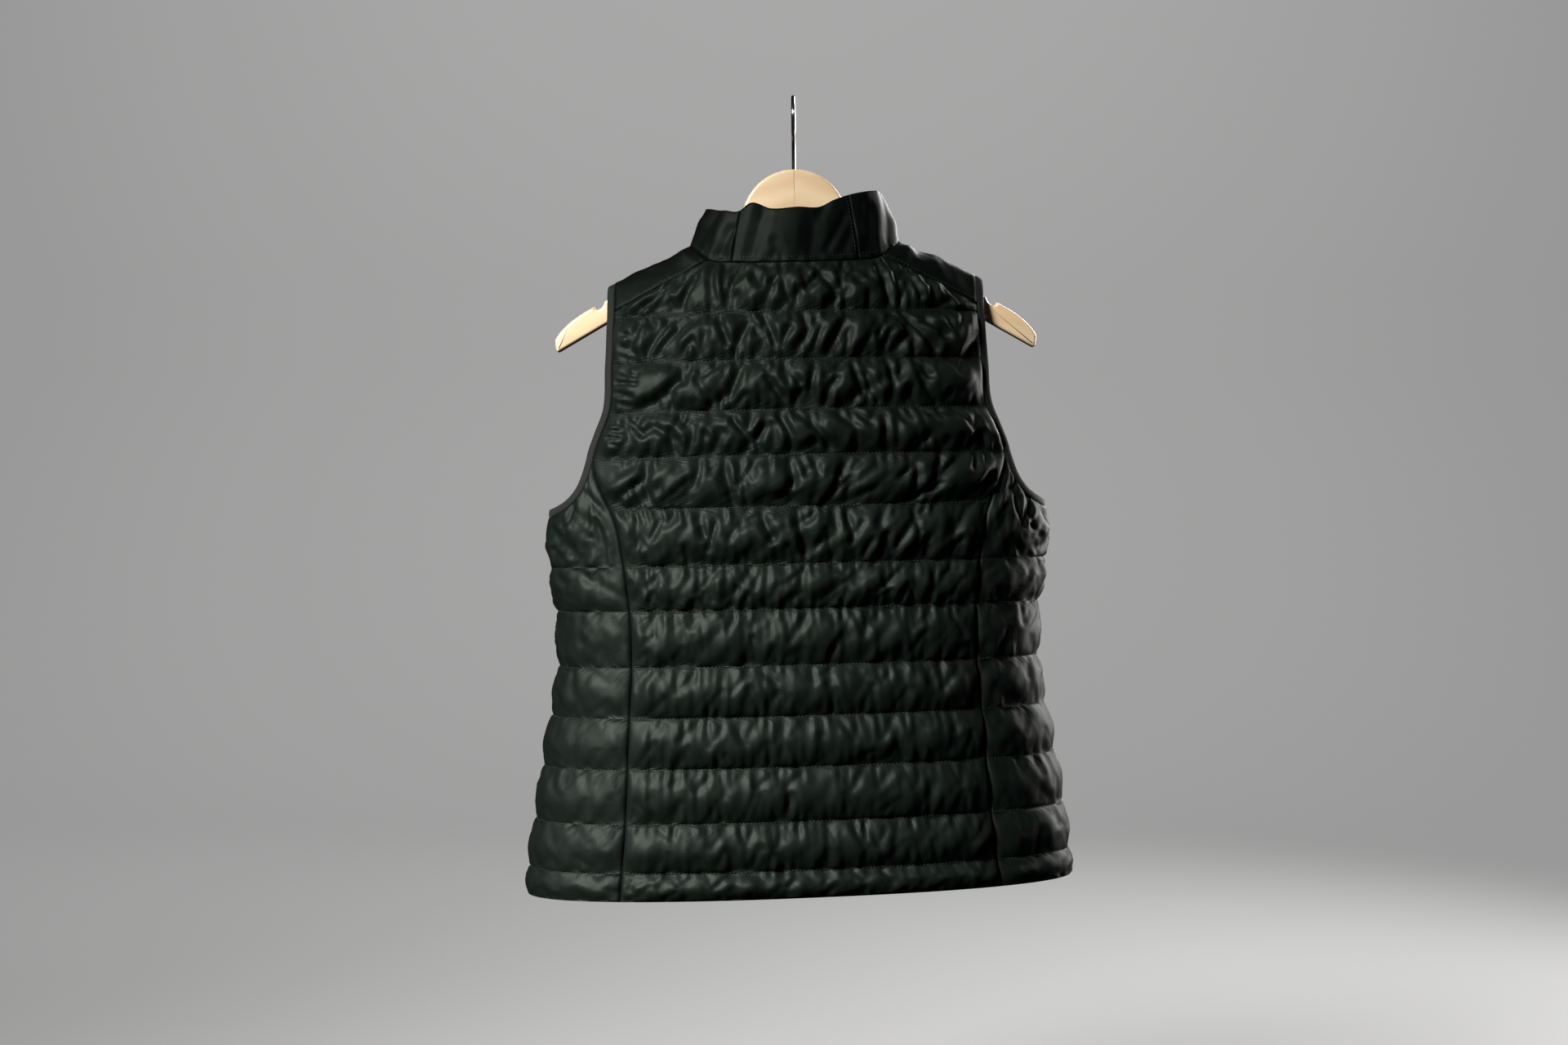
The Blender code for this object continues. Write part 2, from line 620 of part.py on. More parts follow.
half_x, half_z = SLIDER_HALF
slider = block("zip_slider", (-half_x, -SLIDER_RISE, -half_z), (half_x, -SLIDER_BACK, half_z))
face = -SLIDER_RISE
bridge = block("bridge", (-BRIDGE[0], face - BRIDGE[2], -BRIDGE[1]), (BRIDGE[0], face + BRIDGE_SINK, BRIDGE[1]))
window = block("window", (-half_x, face - WINDOW[1], -WINDOW[0]), (half_x, face, WINDOW[0]))
boolean(bridge, window, "DIFFERENCE")
boolean(slider, bridge, "UNION")
pull = block("zip_pull", (-PULL_HALF, -PULL_THICK / 2, PULL_PLATE[0]), (PULL_HALF, PULL_THICK / 2, PULL_PLATE[1]))
for side, hand in ((1, "left"), (-1, "right")):
    low, high = sorted((side * PULL_ARM[0], side * PULL_ARM[1]))
    arm_half = PULL_THICK / 2 - PULL_ARM_THIN
    arm = block(f"pull_arm_{hand}", (low, -arm_half, PULL_PLATE[1] - PULL_ARM_LAP), (high, arm_half, PULL_ARM_LAP))
    boolean(pull, arm, "UNION")
    arm.parent = pull
pin_mesh = bpy.data.meshes.new("pull_pin")
pin_shape = bmesh.new()
bmesh.ops.create_cone(
    pin_shape, cap_ends=True, segments=10, radius1=PIN_RADIUS, radius2=PIN_RADIUS, depth=2 * (PULL_ARM[1] - PIN_SINK)
)
bmesh.ops.rotate(pin_shape, verts=pin_shape.verts[:], matrix=Matrix.Rotation(math.pi / 2, 3, "Y"))
pin_shape.to_mesh(pin_mesh)
pin_shape.free()
pin = bpy.data.objects.new("pull_pin", pin_mesh)
cutters.objects.link(pin)
pin.hide_render = True
pin.display_type = "WIRE"
boolean(pull, pin, "UNION")
pin.parent = pull
for piece in (slider, pull):
    piece.hide_render = False
    piece.display_type = "TEXTURED"
    keep(piece, SLIDER_METAL, slider_seat)
for cutter in (bridge, window):
    cutter.parent = slider
pull.location = (0, face - PIVOT_RISE, 0)


# ---- wooden hanger: two arms glued at the middle ----
def arm_top(x):
    return ARM_TOP[1] - ARM_TOP_SLOPE * (x - ARM_TOP[0])


def arm_under(x):
    return ARM_UNDER[1] - ARM_UNDER_SLOPE * (x - ARM_UNDER[0])


def bend(start, corner, end, count):
    """Points of a curve that leaves its start and reaches its end along the lines to one corner."""
    shares = [at / count for at in range(count + 1)]
    return [
        tuple((1 - t) ** 2 * a + 2 * t * (1 - t) * b + t * t * c for a, b, c in zip(start, corner, end))
        for t in shares
    ]


def half_outline():
    """The wearer's left half of the hanger, from the dome's top round to the middle of its underside."""
    centre = DOME_TOP - DOME_RADIUS
    turns = [math.pi / 2 + (DOME_END - math.pi / 2) * at / 9 for at in range(10)]
    dome = [(DOME_RADIUS * math.cos(turn), centre + DOME_RADIUS * math.sin(turn)) for turn in turns]
    shoulder = bend(dome[-1], (SHOULDER, arm_top(SHOULDER)), ARM_TOP, count=5)[1:]
    notch = []
    for at in range(5):
        turn = math.pi * at / 4
        x = NOTCH - NOTCH_RADIUS * math.cos(turn)
        notch.append((x, arm_top(x) - NOTCH_RADIUS * math.sin(turn)))
    start = (END_START, arm_top(END_START))
    tip = (TIP, arm_under(TIP))
    outer = (TIP + TIP_ROUND, (start[1] + tip[1]) / 2 - END_BULGE)
    corner = (outer[0] - END_CORNER, arm_top(outer[0] - END_CORNER))
    end = bend(start, corner, (outer[0], outer[1] - END_RISE), count=6)
    tip_bend = bend(end[-1], (outer[0], arm_under(outer[0])), tip, count=3)[1:]
    flat = ARM_UNDER[0] - (UNDERSIDE - ARM_UNDER[1]) / ARM_UNDER_SLOPE
    under = bend((flat * 2, arm_under(flat * 2)), (flat, UNDERSIDE), (0.0, UNDERSIDE), count=4)
    return dome + shoulder + notch + end + tip_bend + under


right_side = half_outline()
left_side = [(-x, z) for x, z in right_side[-2:0:-1]]
outline = bpy.data.curves.new("hanger_outline", "CURVE")
outline.dimensions = "2D"
outline.fill_mode = "BOTH"
outline.extrude = WOOD / 2
spline = outline.splines.new("POLY")
spline.points.add(len(right_side + left_side) - 1)
for point, (x, z) in zip(spline.points, right_side + left_side):
    point.co = (x, z, 0.0, 1.0)
spline.use_cyclic_u = True
board = bpy.data.objects.new("hanger_outline", outline)
parts.objects.link(board)
bpy.context.view_layer.update()
flat_board = bpy.data.meshes.new_from_object(board.evaluated_get(bpy.context.evaluated_depsgraph_get()))
bpy.data.objects.remove(board, do_unlink=True)
shape = bmesh.new()
shape.from_mesh(flat_board)
bmesh.ops.remove_doubles(shape, verts=shape.verts[:], dist=1e-5)
bmesh.ops.rotate(shape, verts=shape.verts[:], matrix=Matrix.Rotation(math.pi / 2, 3, "X"))
bmesh.ops.recalc_face_normals(shape, faces=shape.faces[:])
shape.to_mesh(flat_board)
shape.free()

hole_mesh = bpy.data.meshes.new("hook_hole")
hole_shape = bmesh.new()
bmesh.ops.create_cone(
    hole_shape, cap_ends=True, segments=12, radius1=WIRE + GAP, radius2=WIRE + GAP, depth=2 * (DOME_TOP - SHANK_END)
)
bmesh.ops.translate(hole_shape, verts=hole_shape.verts[:], vec=(0, 0, DOME_TOP))
for corner in hole_shape.verts:
    corner.co.z -= GAP
hole_shape.to_mesh(hole_mesh)
hole_shape.free()
hole = bpy.data.objects.new("hook_hole", hole_mesh)
cutters.objects.link(hole)
hole.hide_render = True
hole.display_type = "WIRE"
hole.parent = hung
for side, hand in ((1, "left"), (-1, "right")):
    arm = bpy.data.objects.new(f"hanger_arm_{hand}", flat_board.copy())
    rounding = arm.modifiers.new("rounded_edges", "BEVEL")
    rounding.width = WOOD_ROUND
    rounding.segments = 2
    rounding.angle_limit = math.radians(50)
    (near, far), (bottom, top), width = OTHER_HALF
    low, high = sorted((side * GAP / 2, -side * width))
    other_half = block(f"not_{hand}", (low, near, bottom), (high, far, top))
    other_half.parent = hung
    boolean(arm, other_half, "DIFFERENCE")
    boolean(arm, hole, "DIFFERENCE")
    keep(arm, MAPLE)


# ---- wire hook, turned square to the hanger ----
def hook_route():
    """Centre line of the wire in the plane X = 0, from the free end over the top and down to the wood."""
    centre = WIRE - HOOK_RADIUS
    turns = [HOOK_START + (HOOK_END - HOOK_START) * at / 26 for at in range(27)]
    ring = [(HOOK_RADIUS * math.cos(turn), centre + HOOK_RADIUS * math.sin(turn)) for turn in turns]
    y, z = ring[-1]
    corner = (0.0, z + y * math.cos(HOOK_END) / math.sin(HOOK_END))
    return ring + bend(ring[-1], corner, (0.0, SHANK_TOP), count=7)[1:] + [(0.0, SHANK_END)]


wire = bpy.data.curves.new("hanger_hook", "CURVE")
wire.dimensions = "3D"
wire.bevel_depth = WIRE
wire.bevel_resolution = 2
wire.use_fill_caps = True
route = hook_route()
strand = wire.splines.new("POLY")
strand.points.add(len(route) - 1)
for point, (y, z) in zip(strand.points, route):
    point.co = (0.0, y, z, 1.0)
keep(bpy.data.objects.new("hanger_hook", wire), CHROME)

for piece in parts.objects:
    if piece.type == "MESH" and piece.name.startswith("hanger"):
        piece.data.set_sharp_from_angle(angle=math.radians(35))
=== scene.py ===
# A light quilted body warmer on a wooden hanger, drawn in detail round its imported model.
# Metres, +Z up. The origin is the inside top of the hanger's hook, +X is the wearer's left and the
# front faces -Y. The sections follow the making: hanger, quilted panels, yokes, collar, bindings, zip.

import math

import bmesh
import bpy
import numpy as np
from mathutils import Matrix, Vector


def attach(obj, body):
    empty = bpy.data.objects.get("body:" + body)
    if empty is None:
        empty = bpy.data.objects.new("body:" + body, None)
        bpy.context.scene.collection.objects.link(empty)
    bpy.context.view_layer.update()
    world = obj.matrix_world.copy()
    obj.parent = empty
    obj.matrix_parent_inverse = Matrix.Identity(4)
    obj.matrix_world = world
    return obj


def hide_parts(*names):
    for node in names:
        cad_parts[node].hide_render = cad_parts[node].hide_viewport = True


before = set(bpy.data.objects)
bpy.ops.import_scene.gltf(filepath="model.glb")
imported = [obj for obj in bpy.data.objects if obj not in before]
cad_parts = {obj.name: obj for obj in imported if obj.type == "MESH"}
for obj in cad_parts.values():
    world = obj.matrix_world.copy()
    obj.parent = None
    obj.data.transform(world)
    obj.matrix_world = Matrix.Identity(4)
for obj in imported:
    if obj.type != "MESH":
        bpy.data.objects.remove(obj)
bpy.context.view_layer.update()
random = np.random.default_rng(63)

# ---- wooden hanger ----
# Two arms of pale maple sawn from board, rounded over along every edge and clear lacquered. They
# are glued together at the middle, where the hook goes down a drilled hole, and a notch near each
# end keeps a strap from slipping off.
LEAN = math.radians(0.64)  # hanger and cloth lean together over the hook
GAP = 0.0003
WOOD = 0.012
WOOD_ROUND = 0.0028
DOME_TOP, DOME_RADIUS, DOME_END = -0.064, 0.048, math.radians(15)
SHOULDER = 0.0516
ARM_TOP, ARM_TOP_SLOPE = (0.072, -0.1294), 0.520
ARM_UNDER, ARM_UNDER_SLOPE = (0.169, -0.2010), math.tan(math.radians(30))
UNDERSIDE = -0.119
NOTCH, NOTCH_RADIUS = 0.1775, 0.0045
END_START, TIP, END_BULGE, TIP_ROUND = 0.1860, 0.2140, 0.0045, 0.004
WIRE = 0.00175
MAPLE = ((0.78, 0.54, 0.31), (0.94, 0.75, 0.48))


def leant(points):
    """Where points come to when everything leans over the hook."""
    x, y, z = np.moveaxis(np.asarray(points, float), -1, 0)
    cos, sin = math.cos(LEAN), math.sin(LEAN)
    return np.stack([x * cos + z * sin, y, z * cos - x * sin], axis=-1)


def add(tree, kind, inputs={}, **settings):
    """A shader node with its settings, and its inputs as values or as other nodes' sockets."""
    node = tree.nodes.new("ShaderNode" + kind)
    for key, value in settings.items():
        setattr(node, key, value)
    for key, value in inputs.items():
        if isinstance(value, bpy.types.NodeSocket):
            tree.links.new(value, node.inputs[key])
        else:
            node.inputs[key].default_value = value
    return node


def finish(name, inputs):
    """A new material with its shader's plain values, its node tree and its shader."""
    material = bpy.data.materials.new(name)
    material.use_nodes = True
    shader = material.node_tree.nodes["Principled BSDF"]
    for key, value in inputs.items():
        shader.inputs[key].default_value = value
    return material, material.node_tree, shader


def bumped(tree, shader, strength, distance, height):
    """Raises a shader's surface by a height socket."""
    relief = add(tree, "Bump", {"Strength": strength, "Distance": distance, "Height": height})
    tree.links.new(relief.outputs[0], shader.inputs["Normal"])


def blend_colours(tree, factor, colours):
    """A mix of two colours by a factor socket."""
    mix = add(tree, "Mix", {0: factor}, data_type="RGBA")
    mix.inputs[6].default_value, mix.inputs[7].default_value = (*colours[0], 1), (*colours[1], 1)
    return mix.outputs[2]


def piece(name, shape, material, nodes=(), body="root", sharp=None):
    """A finished piece from its bmesh: smooth-shaded, on its body, in place of its CAD nodes."""
    mesh = bpy.data.meshes.new(name)
    shape.to_mesh(mesh)
    shape.free()
    mesh.materials.append(material)
    mesh.shade_smooth() if sharp is None else mesh.set_sharp_from_angle(angle=math.radians(sharp))
    obj = bpy.data.objects.new(name, mesh)
    bpy.context.scene.collection.objects.link(obj)
    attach(obj, body)
    if nodes:
        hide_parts(*nodes)
    return obj


def arm_top(x):
    return ARM_TOP[1] - ARM_TOP_SLOPE * (x - ARM_TOP[0])


def arm_under(x):
    return ARM_UNDER[1] - ARM_UNDER_SLOPE * (x - ARM_UNDER[0])


def bend(start, corner, end, count):
    """Points of a curve that leaves its start and reaches its end along the lines to one corner."""
    shares = [at / count for at in range(count + 1)]
    return [
        tuple((1 - t) ** 2 * a + 2 * t * (1 - t) * b + t * t * c for a, b, c in zip(start, corner, end))
        for t in shares
    ]


def arm_outline():
    """One arm on the wearer's left, from the top of the dome out to the tip and back under."""
    centre = DOME_TOP - DOME_RADIUS
    turns = [math.pi / 2 + (DOME_END - math.pi / 2) * at / 24 for at in range(25)]
    dome = [(DOME_RADIUS * math.cos(turn), centre + DOME_RADIUS * math.sin(turn)) for turn in turns]
    shoulder = bend(dome[-1], (SHOULDER, arm_top(SHOULDER)), ARM_TOP, 10)[1:]
    notch_at = [NOTCH - NOTCH_RADIUS * math.cos(math.pi * at / 8) for at in range(9)]
    notch = [(x, arm_top(x) - NOTCH_RADIUS * math.sin(math.pi * at / 8)) for at, x in enumerate(notch_at)]
    start, tip = (END_START, arm_top(END_START)), (TIP, arm_under(TIP))
    outer = (TIP + TIP_ROUND, (start[1] + tip[1]) / 2 - END_BULGE)
    end = bend(start, (outer[0] - 0.009, arm_top(outer[0] - 0.009)), (outer[0], outer[1] - 0.004), 12)
    round_tip = bend(end[-1], (outer[0], arm_under(outer[0])), tip, 6)[1:]
    flat = ARM_UNDER[0] - (UNDERSIDE - ARM_UNDER[1]) / ARM_UNDER_SLOPE
    under = bend((flat * 2, arm_under(flat * 2)), (flat, UNDERSIDE), (GAP / 2, UNDERSIDE), 10)
    return [(GAP / 2, DOME_TOP)] + dome[1:] + shoulder + notch + end + round_tip + under


for side, hand in ((1, "left"), (-1, "right")):
    arm = bmesh.new()
    rim = [arm.verts.new((side * x, -WOOD / 2, z)) for x, z in arm_outline()]
    board = arm.faces.new(rim)
    swept = bmesh.ops.extrude_face_region(arm, geom=[board])["geom"]
    bmesh.ops.translate(arm, verts=[v for v in swept if isinstance(v, bmesh.types.BMVert)], vec=(0, WOOD, 0))
    bmesh.ops.recalc_face_normals(arm, faces=arm.faces[:])
    edges = []
    for edge in arm.edges:
        ends = [corner.co for corner in edge.verts]
        if abs(ends[0].y - ends[1].y) < 1e-6 and max(abs(end.x) for end in ends) > GAP:
            edges.append(edge)
    bmesh.ops.bevel(arm, geom=edges, offset=WOOD_ROUND, affect="EDGES", segments=4, profile=0.5, material=-1)
    bmesh.ops.triangulate(arm, faces=[face for face in arm.faces if len(face.verts) > 4])
    for corner in arm.verts:
        corner.co = leant(corner.co)
    lacquered = {"Roughness": 0.42, "Coat Weight": 0.55, "Coat Roughness": 0.12}
    maple, tree, shader = finish(f"maple_{hand}", lacquered)
    place = add(tree, "TexCoord").outputs["Object"]
    grain_way = (0, side * 0.40, side * 0.03)
    along = add(tree, "Mapping", {"Vector": place, "Rotation": grain_way, "Scale": (9, 62, 62)})
    drift = add(tree, "TexNoise", {"Vector": along.outputs[0], "Scale": 1.1, "Detail": 5.0, "Roughness": 0.6})
    fine = add(tree, "Mapping", {"Vector": place, "Rotation": (0, side * 0.40, 0), "Scale": (70, 900, 900)})
    pores = add(tree, "TexNoise", {"Vector": fine.outputs[0], "Scale": 1.0, "Detail": 2.0})
    wavy = {"Vector": along.outputs[0], "Scale": 0.42, "Distortion": 5.0, "Detail": 3.0, "Phase Offset": side}
    rings = add(tree, "TexWave", wavy)
    mixed = {0: drift.outputs[0], 1: rings.outputs["Fac"], 2: 0.22}
    both = add(tree, "Math", mixed, operation="MULTIPLY_ADD")
    tree.links.new(blend_colours(tree, both.outputs[0], MAPLE), shader.inputs["Base Color"])
    bumped(tree, shader, 0.25, 0.0002, pores.outputs[0])
    piece(f"maple_arm_{hand}", arm, maple, [f"hanger_arm_{hand}"], sharp=40)

# ---- hook ----
# Steel wire bent into a question mark, chromed, with a rounded free end, turned square to the
# arms and pushed down its hole.
HOOK_RADIUS = 0.019 + WIRE
HOOK_START, HOOK_END = math.radians(205), math.radians(-50)
SHANK_TOP, SHANK_END = -0.056, -0.082


def hook_route():
    """Middle of the wire as (y, z), from the free end over the top and down into the wood."""
    turns = [HOOK_START + (HOOK_END - HOOK_START) * at / 60 for at in range(61)]
    centre = WIRE - HOOK_RADIUS
    ring = [(HOOK_RADIUS * math.cos(turn), centre + HOOK_RADIUS * math.sin(turn)) for turn in turns]
    y, z = ring[-1]
    corner = (0.0, z + y * math.cos(HOOK_END) / math.sin(HOOK_END))
    return ring + bend(ring[-1], corner, (0.0, SHANK_TOP), 14)[1:] + [(0.0, SHANK_END)]


def ring_edges(shape, segments, radius, matrix):
    """Edges of a new circle."""
    made = bmesh.ops.create_circle(shape, segments=segments, radius=radius, matrix=matrix)["verts"]
    return list({edge for corner in made for edge in corner.link_edges})


def tube(shape, loops):
    """A closed tube over rings of edges, each joined to the next."""
    for first, second in zip(loops, loops[1:]):
        bmesh.ops.bridge_loops(shape, edges=first + second)
    bmesh.ops.contextual_create(shape, geom=loops[0])
    bmesh.ops.contextual_create(shape, geom=loops[-1])
    bmesh.ops.recalc_face_normals(shape, faces=shape.faces[:])


def worn_finish(name, inputs, scale, detail, dull):
    """A hard finish whose gloss drifts between two roughnesses: with its tree, shader and noise."""
    material, tree, shader = finish(name, inputs)
    place = add(tree, "TexCoord").outputs["Object"]
    wear = add(tree, "TexNoise", {"Vector": place, "Scale": scale, "Detail": detail}).outputs[0]
    gloss = add(tree, "MapRange", {"Value": wear, "To Min": dull[0], "To Max": dull[1]})
    tree.links.new(gloss.outputs[0], shader.inputs["Roughness"])
    return material, tree, shader, wear


hook = bmesh.new()
route = np.array([(0.0, y, z) for y, z in hook_route()])
heading = np.gradient(route, axis=0)
heading /= np.linalg.norm(heading, axis=1, keepdims=True)
# the end is rounded by rings that shrink towards it
tip_turns = [math.radians(turn) for turn in (10, 35, 60)]
start, ahead = route[0], heading[0]
rings = [(start - ahead * WIRE * math.cos(turn), WIRE * math.sin(turn), ahead) for turn in tip_turns]
rings += [(point, WIRE, way) for point, way in zip(route, heading)]
loops = []
for point, radius, way in rings:
    turned = Vector(leant(way)).to_track_quat("Z", "X").to_matrix().to_4x4()
    loops.append(ring_edges(hook, 14, radius, Matrix.Translation(leant(point)) @ turned))
tube(hook, loops)
steel = {"Base Color": (0.72, 0.73, 0.75, 1), "Metallic": 1.0}
chrome = worn_finish("hook_chrome", steel, 260.0, 3.0, (0.07, 0.2))[0]
piece("chromed_hook", hook, chrome, ["hanger_hook"], sharp=50)

# ---- quilted back ----
# One panel of thin satin nylon over a light fill and a lining, stitched into channels from the
# hem to the neck. The shell is cut longer than its seams, so it swells between them, with fine
# tucks beside every seam and slanting creases between.
HEM_SLOPE = 0.012  # drop of the cloth for each metre towards +X
TWIST, TWIST_TOP = math.radians(6.3), -0.14
HEM = -0.709
RIDGE_TOP, RIDGE_SLOPE, RIDGE_ROUND = -0.0854, 0.475, 0.02
TENT, TENT_POWER = 0.25, 0.55
SQUARE = 2.4
BLEND = 4.0
FORM = (  # height, half width, reach before and behind
    (-0.730, 0.2495, 0.0990),
    (-0.709, 0.2470, 0.0980),
    (-0.640, 0.2376, 0.0960),
    (-0.580, 0.2280, 0.0945),
    (-0.520, 0.2172, 0.0935),
    (-0.470, 0.2160, 0.0930),
    (-0.420, 0.2230, 0.0930),
    (-0.380, 0.2253, 0.0930),
    (-0.340, 0.2170, 0.0930),
    (-0.300, 0.2040, 0.0930),
    (-0.250, 0.1920, 0.0930),
    (-0.200, 0.1850, 0.0930),
    (-0.120, 0.1820, 0.0930),
)
# heights of the stitch lines from the hem up; the last channel ends at the neck and the yokes
LEVELS = (HEM, -0.685, -0.643, -0.596, -0.552, -0.508, -0.459, -0.420, -0.370, -0.325, -0.285, -0.241, -0.198)
PANEL_EDGE = (  # height, distance of the panel's edge from the middle
    (-0.730, 0.1690),
    (HEM, 0.1675),
    (-0.645, 0.1610),
    (-0.600, 0.1580),
    (-0.552, 0.1550),
    (-0.510, 0.1520),
    (-0.460, 0.1525),
    (-0.420, 0.1570),
    (-0.377, 0.1650),
    (-0.364, 0.1705),
    (-0.325, 0.1825),
    (-0.306, 0.1765),
    (-0.285, 0.1680),
    (-0.241, 0.1650),
    (-0.190, 0.1630),
)
NECK, NECK_FLARE, NECK_CORNER = 0.078, 0.017, -0.1475
BACK_NECK, FRONT_NECK = -0.1535, -0.194
YOKE_SLOPE, YOKE_END = 0.514, 0.163
SEAM_WALL = 0.0020
CROWN, INNER_CROWN = 0.0078, 0.0028  # the fill's lift of shell and lining before the cloth swells
LOW_CHANNEL = 0.03  # a channel less tall than this is padded less
CREASE, FACET = 0.0030, 0.0046  # depth of the folds before and after the cloth swells
BETWEEN = 0.7  # share of that depth at which cloth clear of creases keeps its height
TUCK, TUCK_REACH = 0.95, 0.13  # fine tucks by the stitches: share of that depth, share of a channel
FACETS = ((0.6, (0.015, 0.024), 0.9), (0.2, (0.007, 0.010), 0.5))  # depth as a share, size, slant
SMOOTH_CHANNELS, ROUGH_CHANNELS = 4, 8  # little creased up to the first, fully from the second
MOST_LIFT, LEAST_LIFT = 0.0125, -0.0004
SWELL_PRESSURE, SWELL_FRAMES, SLACK_STEPS = 6.0, 15, 10
COLUMN_STEP = 0.0021
CHANNEL_ROWS = 22
SHELL = ((0.0028, 0.0045, 0.0035), (0.0041, 0.0063, 0.0051))
THREAD_PITCH, THREAD_LENGTH, THREAD_RADIUS = 0.0034, 0.0025, 0.00026
